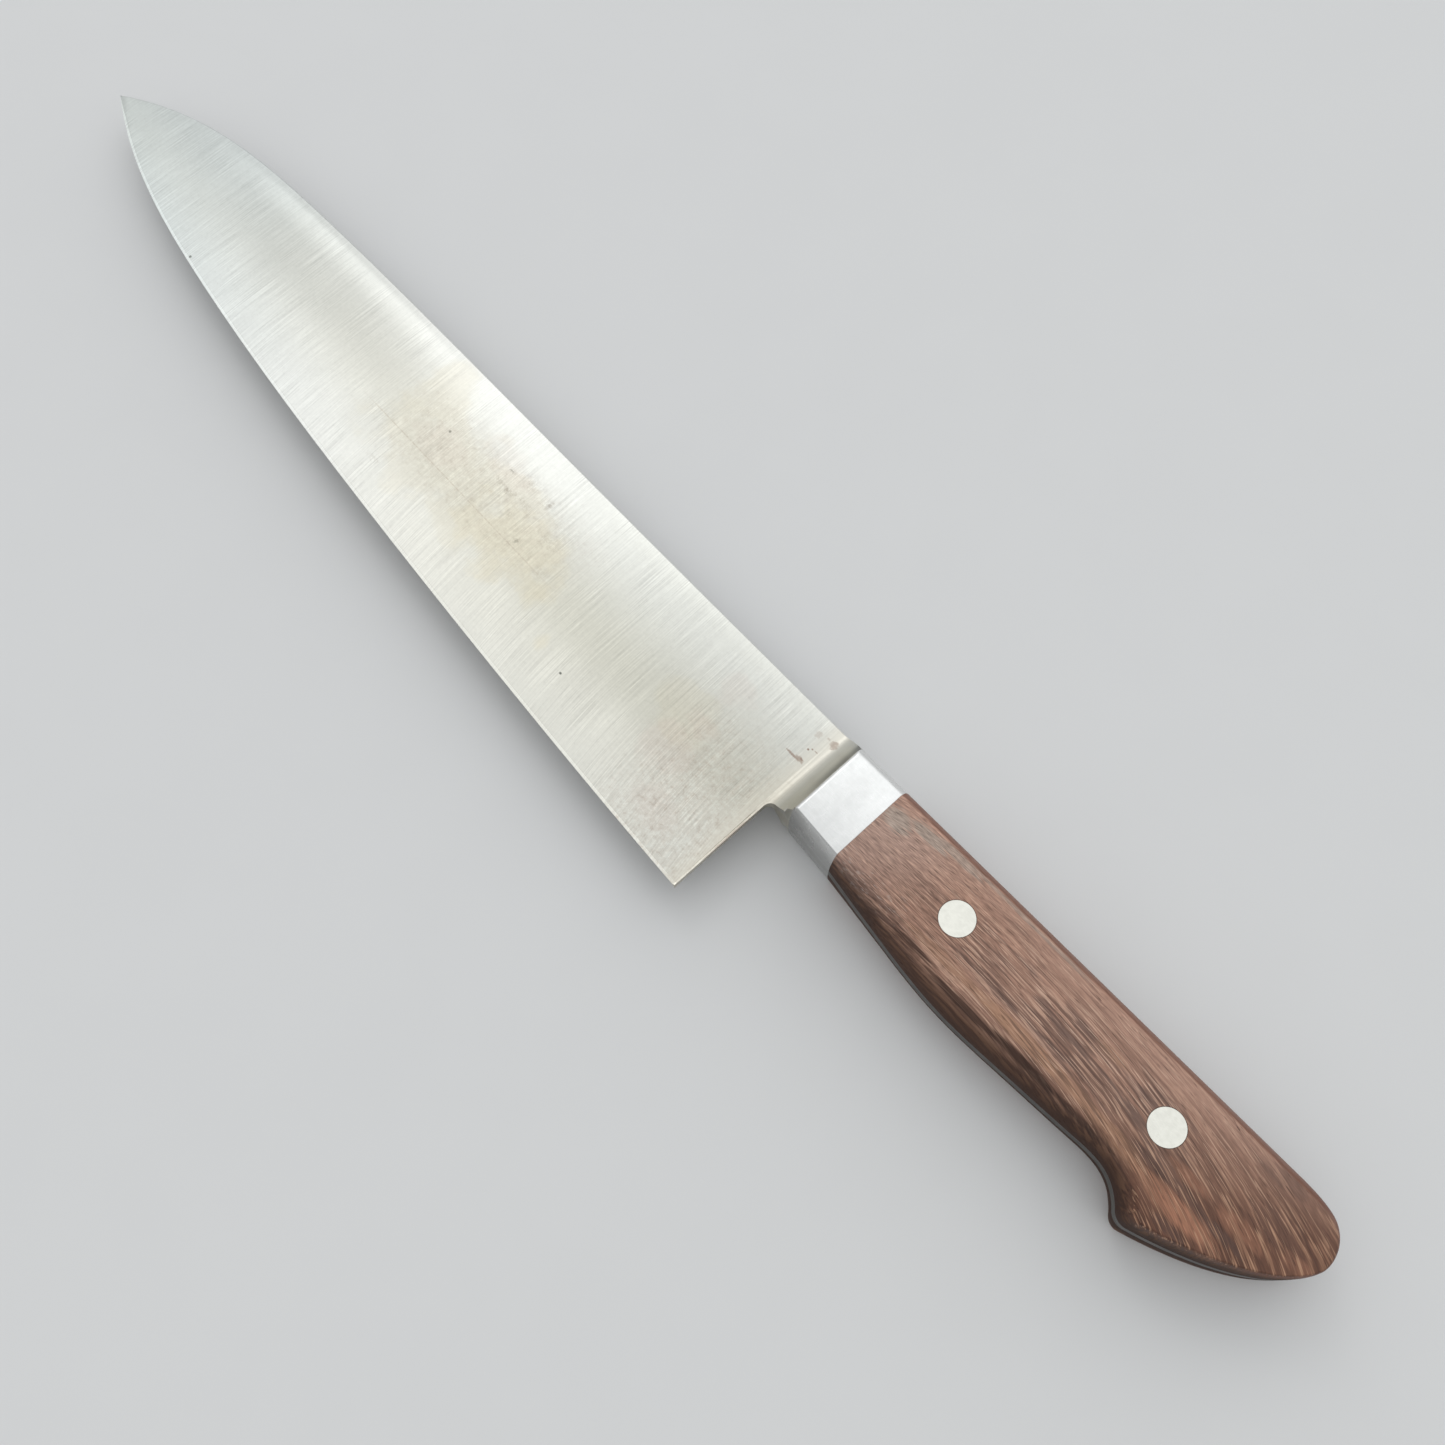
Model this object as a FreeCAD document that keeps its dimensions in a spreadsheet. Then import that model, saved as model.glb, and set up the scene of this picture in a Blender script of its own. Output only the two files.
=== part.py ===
"""Chef knife: a 240 mm blade with a full tang, welded bolster cheeks and riveted wooden scales.

Design frame, in millimetres: "along" runs from the front face of the bolster (0) towards the butt (+) and the tip
(-), "up" runs from the line of the rivets towards the spine (+) and the cutting edge (-), and "out" runs from the
middle plane of the blade towards the left side (+) and the right side (-). One Placement, shared by every piece,
then puts the origin under the middle of the knife as it lies on its right side.
"""
import FreeCAD, Part
import os

import Sketcher

Vector = FreeCAD.Vector

LEFT = 1
RIGHT = -1

# How far from a face an edge may lie and still belong to it, in millimetres.
NEAR = 0.01

SIZES = {
    # Blade
    "blade_length": 240.0,
    "heel_setback": 5.9,
    "heel_drop": 33.0,
    "tip_rise": 0.9,
    "spine_peak": 14.99,
    "choil_radius": 1.5,
    "neck_drop": 7.6,
    "grind_crown": 0.12,
    # Neck: the sides of the blade flare out in a ground hollow to meet the bolster
    "flare_start": 6.5,
    "flare_foot_low": 0.72,
    "flare_foot_high": 1.15,
    "flare_reach": 5.9,
    "flare_rise": 5.0,
    "flare_margin": 1.0,
    "shoulder_out": 8.1,
    # Handle
    "tang_thickness": 2.5,
    "handle_thickness": 18.0,
    "spine_height": 12.9,
    "bolster_length": 12.3,
    "bolster_drop_front": 8.1,
    "bolster_drop_rear": 9.2,
    "bolster_edge_radius": 0.9,
    "butt_reach": 122.01,
    "butt_start": 108.0,
    "hook_heel": 94.9,
    "hook_drop": 16.3,
    "hook_toe": 91.4,
    "hook_toe_drop": 15.45,
    "hook_radius": 3.2,
    "butt_edge_radius": 1.1,
    # Rounding of the handle's section: how far it stands outside the outline that trims it, and its fullness
    "spine_trim": 0.05,
    "spine_round_out": 3.2,
    "spine_round_face": 0.38,
    "spine_flat": 9.3,
    "belly_trim": 0.35,
    "belly_round_out": 4.2,
    "belly_round_face": 0.3,
    # Rivets
    "front_rivet": 36.3,
    "rear_rivet": 87.4,
    "rivet_disc": 7.1,
    "rivet_disc_depth": 2.0,
    "rivet_sleeve": 5.0,
    "rivet_pin": 3.0,
    "rivet_gap": 1.0,
    # Margin by which cutting outlines stand outside the piece that they cut
    "cut_margin": 12.0,
}

# Control points (along, up) of the smooth outlines, between their end points.
CURVES = {
    "spine": [(-21, 13.1), (-62, 13.4), (-124, 14.5), (-186, 15.6), (-228, 13.0)],
    "edge": [(-228, -9.2), (-188, -17.7), (-128, -24.5), (-67, -29.5), (-26, -32.1)],
    "butt": [(114.8, 12.9), (119.9, 11.5), (122.7, 5.2), (121.1, -1.6), (110.6, -10.2), (99.5, -14.8)],
    "belly": [(87.2, -10.5), (78.1, -11.5), (61, -12.5), (45.1, -13.8), (28, -11.5), (18, -10.1)],
}

# Cross-sections of the blade's grind. Top and bottom stand a little outside the blade's outline.
GRIND = {
    "along": [-1, -60, -120, -180, -215, -235, -248],
    "top": [15.0, 15.5, 16.4, 17.0, 14.8, 9.0, 3.2],
    "bottom": [-35.0, -31.8, -26.9, -19.9, -13.3, -6.3, -2.0],
    "top_half": [1.25, 1.18, 1.08, 0.92, 0.75, 0.55, 0.35],
    "bottom_half": [0.05, 0.05, 0.05, 0.05, 0.05, 0.05, 0.05],
}

# Cross-sections of the rounding along the belly: the drop of its foot at the tang and of its top on the flat side.
BOLSTER = {
    "along": [0, 12.3],
    "foot": [8.1, 9.2],
    "flat": [7.1, 7.8],
}
GRIP = {
    "along": [12.3, 30, 48, 66, 80, 87, 94],
    "foot": [9.2, 11.8, 13.3, 12.4, 11.3, 12.5, 19.0],
    "flat": [7.8, 8.3, 8.7, 8.8, 8.8, 10.0, 17.0],
}
TABLES = {"grind": GRIND, "bolster": BOLSTER, "grip": GRIP}


class Size:
    """A number together with the expression that binds it to the sheet."""

    def __init__(self, number, text):
        self.number = float(number)
        self.text = text

    def joined(self, other, sign, number):
        text = other.text if isinstance(other, Size) else str(other)
        return Size(number, f"({self.text} {sign} {text})")

    def __add__(self, other):
        return self.joined(other, "+", self.number + float(other))

    def __sub__(self, other):
        return self.joined(other, "-", self.number - float(other))

    def __mul__(self, other):
        return self.joined(other, "*", self.number * float(other))

    def __truediv__(self, other):
        return self.joined(other, "/", self.number / float(other))

    def __neg__(self):
        return Size(-self.number, f"(-{self.text})")

    def __float__(self):
        return self.number


ZERO = Size(0, "0")


def all_sizes():
    """Every driving dimension with its plain-word alias."""
    rows = dict(SIZES)
    for curve, points in CURVES.items():
        for number, (along, up) in enumerate(points, 1):
            rows[f"{curve}_along_{number}"] = along
            rows[f"{curve}_up_{number}"] = up
    for group, table in TABLES.items():
        for column, values in table.items():
            for number, value in enumerate(values, 1):
                rows[f"{group}_{column}_{number}"] = value
    return rows


def make_sheet(doc):
    """Writes the sheet and returns each size by its alias."""
    sheet = doc.addObject("Spreadsheet::Sheet", "sizes")
    sizes = {}
    for row, (alias, value) in enumerate(all_sizes().items(), 1):
        sheet.set(f"A{row}", alias.replace("_", " "))
        sheet.set(f"B{row}", str(value))
        sheet.setAlias(f"B{row}", alias)
        sizes[alias] = Size(value, f"sizes.{alias}")
    doc.recompute()
    return sizes


def curve_points(sizes, name):
    """The control points of a named curve, as pairs of sizes."""
    count = len(CURVES[name])
    return [(sizes[f"{name}_along_{number}"], sizes[f"{name}_up_{number}"]) for number in range(1, count + 1)]


def station(sizes, group, number):
    """One cross-section's sizes, by column name."""
    return {column: sizes[f"{group}_{column}_{number}"] for column in TABLES[group]}


def new_sketch(body, name, plane, offset=None):
    """A sketch on one of the body's own origin planes, moved along its normal by offset."""
    sketch = body.newObject("Sketcher::SketchObject", f"{body.Name}_{name}")
    support = next(item for item in body.Origin.OriginFeatures if item.Role == plane)
    sketch.AttachmentSupport = [(support, "")]
    sketch.MapMode = "FlatFace"
    if offset is not None:
        sketch.setExpression("AttachmentOffset.Base.z", offset.text)
    return sketch


def bind(sketch, kind, geometry, position, size):
    """Holds one coordinate of a point at a size, measured from the sketch's origin."""
    origin = (-1, 1)
    point = (geometry, position)
    ends = (*point, *origin) if size.number < 0 else (*origin, *point)
    index = sketch.addConstraint(Sketcher.Constraint(kind, *ends, abs(size.number)))
    text = (-size).text if size.number < 0 else size.text
    sketch.setExpression(f"Constraints[{index}]", text)


def bind_point(sketch, geometry, position, point):
    bind(sketch, "DistanceX", geometry, position, point[0])
    bind(sketch, "DistanceY", geometry, position, point[1])


def vector(point):
    return Vector(float(point[0]), float(point[1]), 0)


def draw_line(sketch, start, end):
    return sketch.addGeometry(Part.LineSegment(vector(start), vector(end)), False)


def draw_spline(sketch, start, controls, end):
    """A cubic curve from start to end, shaped by its control points."""
    points = [start, *controls, end]
    spans = len(points) - 3
    knots = [float(number) for number in range(spans + 1)]
    multiplicities = [4] + [1] * (spans - 1) + [4]
    curve = Part.BSplineCurve()
    curve.buildFromPolesMultsKnots([vector(point) for point in points], multiplicities, knots, False, 3)
    index = sketch.addGeometry(curve, False)
    sketch.exposeInternalGeometry(index)
    for number, point in enumerate(controls, 2):
        bind_point(sketch, index + number, 3, point)
    return index


def draw_arc(sketch, start, radius, end):
    """An arc from start to end that bulges to the right of that direction, or to the left if radius is negative."""
    first = vector(start)
    chord = vector(end) - first
    side = 1 if radius.number > 0 else -1
    right = Vector(chord.y, -chord.x, 0).normalize() * side
    half = chord.Length / 2
    size = abs(radius.number)
    sagitta = size - (size * size - half * half) ** 0.5
    index = sketch.addGeometry(Part.Arc(first, first + chord / 2 + right * sagitta, vector(end)), False)
    held = sketch.addConstraint(Sketcher.Constraint("Radius", index, size))
    sketch.setExpression(f"Constraints[{held}]", radius.text if side > 0 else (-radius).text)
    return index


def draw_loop(sketch, start, *pieces):
    """A closed outline. Each piece is (end,), (controls, end) or (radius, end), and the last one closes it."""
    begin = start
    before = None
    first = None
    for piece in pieces:
        end = piece[-1]
        if len(piece) == 1:
            index = draw_line(sketch, begin, end)
        elif isinstance(piece[0], Size):
            index = draw_arc(sketch, begin, piece[0], end)
        else:
            index = draw_spline(sketch, begin, piece[0], end)
        flipped = (sketch.getPoint(index, 1) - vector(begin)).Length > 1e-6
        entry, leave = (2, 1) if flipped else (1, 2)
        if before is None:
            first = (index, entry)
        else:
            sketch.addConstraint(Sketcher.Constraint("Coincident", *before, index, entry))
        before = (index, leave)
        if end is start:
            sketch.addConstraint(Sketcher.Constraint("Coincident", *before, *first))
        bind_point(sketch, index, leave, end)
        begin = end


def draw_box(sketch, low, high):
    """A rectangle between two opposite corners."""
    draw_loop(sketch, low, ((high[0], low[1]),), (high,), ((low[0], high[1]),), (low,))


def feature(body, kind, name, sketch, **settings):
    """A PartDesign feature on a sketch, recomputed at once. A value that is a Size becomes an expression."""
    made = body.newObject(f"PartDesign::{kind}", f"{body.Name}_{name}")
    made.Profile = sketch
    for setting, value in settings.items():
        if isinstance(value, Size):
            made.setExpression(setting, value.text)
        else:
            setattr(made, setting, value)
    body.Document.recompute()
    return made


def loft(body, name, sketches, kind="AdditiveLoft"):
    return feature(body, kind, name, sketches[0], Sections=[(sketch, [""]) for sketch in sketches[1:]])


def cut_through(body, name, sketch):
    return feature(body, "Pocket", name, sketch, SideType="Symmetric", Type="ThroughAll")


def new_body(doc, name, sizes, along=None):
    """An empty body in the knife's frame, or at a place along the handle for a turned piece."""
    body = doc.addObject("PartDesign::Body", name)
    body.Label = name
    middle = (sizes["blade_length"] + sizes["heel_setback"] - sizes["butt_reach"]) / 2
    place = middle if along is None else middle + along
    body.setExpression("Placement.Base.x", place.text)
    body.setExpression("Placement.Base.y", ((sizes["heel_drop"] - sizes["spine_peak"]) / 2).text)
    body.setExpression("Placement.Base.z", (sizes["handle_thickness"] / 2).text)
    return body


def blade_outline(sketch, sizes):
    """Side view of the blade and its neck: spine, tip, edge, heel, choil and underside of the neck."""
    heel = -sizes["heel_setback"]
    top = (ZERO, sizes["spine_height"])
    tip = (heel - sizes["blade_length"], sizes["tip_rise"])
    heel_corner = (heel, -sizes["heel_drop"])
    choil_low = (heel, -(sizes["neck_drop"] + sizes["choil_radius"]))
    choil_high = (heel + sizes["choil_radius"], -sizes["neck_drop"])
    neck = (ZERO, -sizes["bolster_drop_front"])
    draw_loop(
        sketch,
        top,
        (curve_points(sizes, "spine"), tip),
        (curve_points(sizes, "edge"), heel_corner),
        (choil_low,),
        (-sizes["choil_radius"], choil_high),
        (neck,),
        (top,),
    )


def handle_outline(sketch, sizes, front, *below):
    """Side view of the handle, from its front line round the butt and the hook to the belly's front end."""
    top = (front, sizes["spine_height"])
    draw_loop(
        sketch,
        top,
        ((sizes["butt_start"], sizes["spine_height"]),),
        (curve_points(sizes, "butt"), (sizes["hook_heel"], -sizes["hook_drop"])),
        (-sizes["hook_radius"], (sizes["hook_toe"], -sizes["hook_toe_drop"])),
        (curve_points(sizes, "belly"), (sizes["bolster_length"], -sizes["bolster_drop_rear"])),
        *below,
        (top,),
    )


def draw_corner(sketch, sizes, name, apex, flat, side, beyond):
    """What a rounding takes away: from the tang's edge at height apex to the flat side at height flat, and outwards."""
    tang = sizes["tang_thickness"] / 2 * side
    half = sizes["handle_thickness"] / 2 * side
    outside = half + sizes["cut_margin"] * side
    foot = (apex, tang)
    swing = (apex, sizes[f"{name}_round_out"] * side)
    landing = (flat + (apex - flat) * sizes[f"{name}_round_face"], half)
    draw_loop(
        sketch,
        foot,
        ([swing, landing], (flat, half)),
        ((flat, outside),),
        ((beyond, outside),),
        ((beyond, tang),),
        (foot,),
    )


def draw_spine_corner(sketch, sizes, side):
    apex = sizes["spine_height"] + sizes["spine_trim"]
    draw_corner(sketch, sizes, "spine", apex, sizes["spine_flat"], side, apex + sizes["cut_margin"])


def draw_belly_corner(sketch, sizes, group, number, side):
    row = station(sizes, group, number)
    apex = -(row["foot"] + sizes["belly_trim"])
    draw_corner(sketch, sizes, "belly", apex, -row["flat"], side, apex - sizes["cut_margin"])


def round_spine(body, sizes, side):
    """Rounds the corner between the spine and the flat side, all along the handle."""
    sketch = new_sketch(body, "spine_corner", "YZ_Plane")
    draw_spine_corner(sketch, sizes, side)
    return cut_through(body, "spine_rounding", sketch)


def round_belly(body, sizes, group, side):
    """Rounds the corner between the belly and the flat side, section by section."""
    sketches = []
    for number in range(1, len(TABLES[group]["along"]) + 1):
        along = station(sizes, group, number)["along"]
        sketch = new_sketch(body, f"belly_corner_{number}", "YZ_Plane", along)
        draw_belly_corner(sketch, sizes, group, number, side)
        sketches.append(sketch)
    return loft(body, "belly_rounding", sketches, "SubtractiveLoft")


def pad_side(body, sizes, sketch, side):
    """Pads an outline from the face of the tang out to the flat side of the handle."""
    sketch.setExpression("AttachmentOffset.Base.z", (sizes["tang_thickness"] / 2 * side).text)
    reach = (sizes["handle_thickness"] - sizes["tang_thickness"]) / 2
    return feature(body, "Pad", "block", sketch, Length=reach, Reversed=side == RIGHT)


def surround(sketch, sizes, low, high):
    """The outer rectangle of a cutting outline."""
    margin = sizes["cut_margin"]
    draw_box(sketch, (low[0] - margin, low[1] - margin), (high[0] + margin, high[1] + margin))


def grind_section(body, sizes, number):
    """Cross-section of the blade: a narrow wedge with slightly convex sides."""
    row = station(sizes, "grind", number)
    sketch = new_sketch(body, f"grind_{number}", "YZ_Plane", row["along"])
    third = (row["top"] - row["bottom"]) / 3
    low, high = row["bottom"], row["top"]
    inner, outer = row["bottom_half"], row["top_half"]
    step = (outer - inner) / 3
    # The middle control points stand out a third more than the crown that they raise.
    bulge = sizes["grind_crown"] * 4 / 3
    near = inner + step + bulge
    far = outer - step + bulge
    sides = [[(low + third, near * side), (high - third, far * side)] for side in (LEFT, RIGHT)]
    left_low, left_high = (low, inner), (high, outer)
    right_low, right_high = (low, -inner), (high, -outer)
    draw_loop(
        sketch,
        left_low,
        (sides[0], left_high),
        (right_high,),
        (sides[1][::-1], right_low),
        (left_low,),
    )
    return sketch


def flare_section(body, sizes, name, height, foot):
    """Plan of the neck at one height: both sides flare from the blade's face out to the bolster's shoulder."""
    sketch = new_sketch(body, name, "XZ_Plane", -height)
    start = -sizes["flare_start"]
    bend = (start + sizes["flare_reach"], foot + sizes["flare_rise"])
    shoulder = (ZERO, sizes["shoulder_out"])
    ends = [(start, foot), shoulder]
    swing = [(start + sizes["flare_reach"] / 2, foot), bend]
    mirrored = [[(along, -out) for along, out in points] for points in (ends, swing)]
    (far_start, far_shoulder), far_swing = mirrored
    draw_loop(
        sketch,
        ends[0],
        (swing, shoulder),
        (far_shoulder,),
        (far_swing[::-1], far_start),
        (ends[0],),
    )
    return sketch


def trim_neck(body, sizes):
    """Rounds the neck's shoulders to the bolster's front section."""
    sketch = new_sketch(body, "neck_section", "YZ_Plane")
    for side in (LEFT, RIGHT):
        draw_spine_corner(sketch, sizes, side)
        draw_belly_corner(sketch, sizes, "bolster", 1, side)
    return feature(body, "Pocket", "neck_rounding", sketch, Type="Length", Length=sizes["flare_start"])


def round_hole(body, sizes, name, along, diameter):
    """A circle at a place along the line of the rivets."""
    sketch = new_sketch(body, name, "XY_Plane")
    circle = sketch.addGeometry(Part.Circle(Vector(along.number, 0, 0), Vector(0, 0, 1), diameter.number / 2))
    bind_point(sketch, circle, 3, (along, ZERO))
    held = sketch.addConstraint(Sketcher.Constraint("Radius", circle, diameter.number / 2))
    sketch.setExpression(f"Constraints[{held}]", (diameter / 2).text)
    return sketch


def make_blade(doc, sizes):
    """Blade, neck and full tang, forged in one piece."""
    body = new_body(doc, "blade", sizes)
    count = len(GRIND["along"])
    loft(body, "grind", [grind_section(body, sizes, number) for number in range(1, count + 1)])
    bottom = -(sizes["bolster_drop_front"] + sizes["flare_margin"])
    low = flare_section(body, sizes, "flare_low", bottom, sizes["flare_foot_low"])
    top = sizes["spine_height"] + sizes["flare_margin"]
    high = flare_section(body, sizes, "flare_high", top, sizes["flare_foot_high"])
    loft(body, "neck", [low, high])
    trim_neck(body, sizes)

    outline = new_sketch(body, "outline", "XY_Plane")
    blade_outline(outline, sizes)
    tip = (-(sizes["heel_setback"] + sizes["blade_length"]), -sizes["heel_drop"])
    surround(outline, sizes, tip, (ZERO, sizes["spine_peak"]))
    cut_through(body, "outline_cut", outline)

    tang = new_sketch(body, "tang_outline", "XY_Plane")
    handle_outline(tang, sizes, ZERO, ((ZERO, -sizes["bolster_drop_front"]),))
    feature(body, "Pad", "tang", tang, SideType="Symmetric", Length=sizes["tang_thickness"])
    for rivet in ("front_rivet", "rear_rivet"):
        hole = round_hole(body, sizes, f"{rivet}_hole", sizes[rivet], sizes["rivet_sleeve"])
        cut_through(body, f"{rivet}_bore", hole)
    return body


def make_bolster(doc, sizes, name, side):
    """Steel cheek beside the tang, flush with the neck in front and with the scale behind."""
    body = new_body(doc, name, sizes)
    outline = new_sketch(body, "outline", "XY_Plane")
    rear = sizes["bolster_length"]
    top = (ZERO, sizes["spine_height"])
    draw_loop(
        outline,
        top,
        ((rear, sizes["spine_height"]),),
        ((rear, -sizes["bolster_drop_rear"]),),
        ((ZERO, -sizes["bolster_drop_front"]),),
        (top,),
    )
    pad_side(body, sizes, outline, side)
    round_spine(body, sizes, side)
    round_belly(body, sizes, "bolster", side)

    edge = new_sketch(body, "front_edge", "XZ_Plane")
    half = sizes["handle_thickness"] / 2 * side
    radius = sizes["bolster_edge_radius"]
    foot = (ZERO, half - radius * side)
    draw_loop(
        edge,
        foot,
        (-radius * side, (radius, half)),
        ((radius, half + radius * side),),
        ((-radius, half + radius * side),),
        ((-radius, half - radius * side),),
        (foot,),
    )
    cut_through(body, "front_edge_rounding", edge)
    return body


def round_butt(body, sizes):
    """Eases the edge between the flat side and the wall of the butt and the hook."""
    flat = sizes["handle_thickness"].number / 2
    hook = sizes["hook_toe"].number
    base = body.Tip
    edges = []
    for number, edge in enumerate(base.Shape.Edges, 1):
        ends = [edge.valueAt(edge.FirstParameter), edge.valueAt(edge.LastParameter)]
        on_flat = all(abs(abs(point.z) - flat) < NEAR for point in ends)
        behind_hook = all(point.x > hook - NEAR for point in ends)
        if on_flat and behind_hook:
            edges.append(f"Edge{number}")
    rounding = body.newObject("PartDesign::Fillet", f"{body.Name}_butt_edge")
    rounding.Base = (base, edges)
    rounding.setExpression("Radius", sizes["butt_edge_radius"].text)
    body.Document.recompute()
    return rounding


def make_scale(doc, sizes, name, side):
    """Wooden grip scale beside the tang, from the bolster to the butt, with a counterbored hole for each rivet."""
    body = new_body(doc, name, sizes)
    outline = new_sketch(body, "outline", "XY_Plane")
    handle_outline(outline, sizes, sizes["bolster_length"])
    pad_side(body, sizes, outline, side)
    round_butt(body, sizes)
    round_spine(body, sizes, side)
    round_belly(body, sizes, "grip", side)
    for rivet in ("front_rivet", "rear_rivet"):
        hole = round_hole(body, sizes, f"{rivet}_hole", sizes[rivet], sizes["rivet_sleeve"])
        cut_through(body, f"{rivet}_bore", hole)
        seat = round_hole(body, sizes, f"{rivet}_seat", sizes[rivet], sizes["rivet_disc"])
        floor = sizes["handle_thickness"] / 2 - sizes["rivet_disc_depth"]
        seat.setExpression("AttachmentOffset.Base.z", (floor * side).text)
        feature(body, "Pocket", f"{rivet}_counterbore", seat, Type="ThroughAll", Reversed=side == LEFT)
    return body


def make_rivet_half(doc, sizes, name, along, side):
    """Half of a two-part rivet, turned about its own axis: the post on the left, the sleeve on the right."""
    body = new_body(doc, name, sizes, along)
    profile = new_sketch(body, "profile", "XZ_Plane")
    half = sizes["handle_thickness"] / 2
    disc = sizes["rivet_disc"] / 2
    pin = sizes["rivet_pin"] / 2
    sleeve = sizes["rivet_sleeve"] / 2
    seat = half - sizes["rivet_disc_depth"]
    reach = seat - sizes["rivet_gap"]
    if side == LEFT:
        start = (ZERO, half)
        corners = [(ZERO, -reach), (pin, -reach), (pin, seat), (disc, seat), (disc, half)]
    else:
        start = (ZERO, -half)
        corners = [(disc, -half), (disc, -seat), (sleeve, -seat), (sleeve, reach), (pin, reach)]
        corners += [(pin, -seat), (ZERO, -seat)]
    draw_loop(profile, start, *[(corner,) for corner in corners], (start,))
    feature(body, "Revolution", "turned", profile, ReferenceAxis=(profile, ["V_Axis"]), Angle=360)
    return body


def check(doc, bodies):
    """Stops if any object failed or any piece isn't one sound solid."""
    for item in doc.Objects:
        if "Invalid" in item.State or "Error" in item.State:
            raise RuntimeError(f"{item.Name} failed: {item.State}")
    for body in bodies:
        shape = body.Shape
        if shape.isNull() or not shape.isValid() or len(shape.Solids) != 1:
            raise RuntimeError(f"{body.Label} isn't one sound solid")


def main():
    doc = FreeCAD.newDocument("chef_knife")
    sizes = make_sheet(doc)
    bodies = [make_blade(doc, sizes)]
    for side_name, side in (("left", LEFT), ("right", RIGHT)):
        bodies.append(make_bolster(doc, sizes, f"bolster_{side_name}", side))
        bodies.append(make_scale(doc, sizes, f"scale_{side_name}", side))
    for place in ("front_rivet", "rear_rivet"):
        bodies.append(make_rivet_half(doc, sizes, f"{place}_post", sizes[place], LEFT))
        bodies.append(make_rivet_half(doc, sizes, f"{place}_sleeve", sizes[place], RIGHT))
    doc.recompute()
    check(doc, bodies)
    os.makedirs("parts", exist_ok=True)
    for body in bodies:
        body.Shape.exportStep(f"parts/{body.Label}.step")
        box = body.Shape.BoundBox
        print(f"{body.Label}: {box.XMin:.2f}..{box.XMax:.2f}, {box.YMin:.2f}..{box.YMax:.2f}, "
              f"{box.ZMin:.2f}..{box.ZMax:.2f}, volume {body.Shape.Volume:.0f}")


main()
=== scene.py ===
"""Looks of a chef knife: a ground steel blade with its tang, polished bolster cheeks, riveted wooden scales.

Shapes are worked out in millimetres in the knife's own terms. "Along" runs from the front face of the bolster
(0) to the butt (+) and the tip (-), "up" from the line of the rivets to the spine (+) and the edge (-), and
"out" from the blade's middle plane to the left side (+). place() turns them into the row frame, in metres.
"""
import math

import bpy
import numpy as np
from mathutils import Matrix, Vector
from mathutils.geometry import delaunay_2d_cdt


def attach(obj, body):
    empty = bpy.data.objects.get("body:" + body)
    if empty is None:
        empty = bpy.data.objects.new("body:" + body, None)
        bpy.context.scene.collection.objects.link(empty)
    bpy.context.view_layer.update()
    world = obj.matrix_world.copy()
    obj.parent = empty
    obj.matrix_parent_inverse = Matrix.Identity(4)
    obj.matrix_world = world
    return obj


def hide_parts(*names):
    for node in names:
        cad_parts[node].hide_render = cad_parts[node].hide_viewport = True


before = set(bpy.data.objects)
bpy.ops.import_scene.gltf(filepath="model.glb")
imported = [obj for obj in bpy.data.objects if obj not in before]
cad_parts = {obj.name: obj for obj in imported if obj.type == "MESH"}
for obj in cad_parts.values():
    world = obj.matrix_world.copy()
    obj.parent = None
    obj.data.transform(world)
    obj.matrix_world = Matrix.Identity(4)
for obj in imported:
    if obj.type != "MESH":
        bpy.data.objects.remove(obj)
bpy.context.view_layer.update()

MILLIMETRE = 0.001
LEFT = 1
RIGHT = -1
SIDES = {"left": LEFT, "right": RIGHT}

# Where the bolster's front face, the rivets' line and the blade's middle plane are in the row frame
ORIGIN = (61.945, 9.005, 9.0)

# Side view of the blade
TIP = (-245.9, 0.9)
HEEL = (-5.9, -33.0)
CHOIL_RADIUS = 1.5
CHOIL_TOP = -7.6
NECK_START = -6.5
SPINE_POINTS = [TIP, (-228, 13.0), (-186, 15.6), (-124, 14.5), (-62, 13.4), (-21, 13.1), (0, 12.9)]
EDGE_POINTS = [TIP, (-228, -9.2), (-188, -17.7), (-128, -24.5), (-67, -29.5), (-26, -32.1), HEEL]

# Side view of the handle
SPINE_HEIGHT = 12.9
BOLSTER_LENGTH = 12.3
BOLSTER_DROP = (8.1, 9.2)
BUTT_POINTS = [(108, 12.9), (114.8, 12.9), (119.9, 11.5), (122.7, 5.2), (121.1, -1.6), (110.6, -10.2),
               (99.5, -14.8), (94.9, -16.3)]
HOOK_RADIUS = 3.2
BELLY_POINTS = [(91.4, -15.45), (87.2, -10.5), (78.1, -11.5), (61, -12.5), (45.1, -13.8), (28, -11.5),
                (18, -10.1), (12.3, -9.2)]

# Thicknesses, counted from the middle plane
TANG_HALF = 1.25
HANDLE_HALF = 9.0
EDGE_HALF = 0.03
WEDGE_FOOT = 0.15
NECK_FOOT = 0.9
SPINE_HALVES = [(-248, 0.3), (-235, 0.5), (-215, 0.72), (-180, 0.9), (-120, 1.07), (-60, 1.17), (0, 1.25)]

# The blade's finer shape: bevel, crown, eased spine, and the strip by the spine that rolls off
BEVEL_SLOPE = 0.24
GRIND_CROWN = 0.12
SPINE_EASE = 0.22
ROLL_WIDTH = 5
ROLL_DEPTHS = [(-246, 0.0), (-200, 0.1), (-150, 0.08), (-90, 0.0)]

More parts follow.
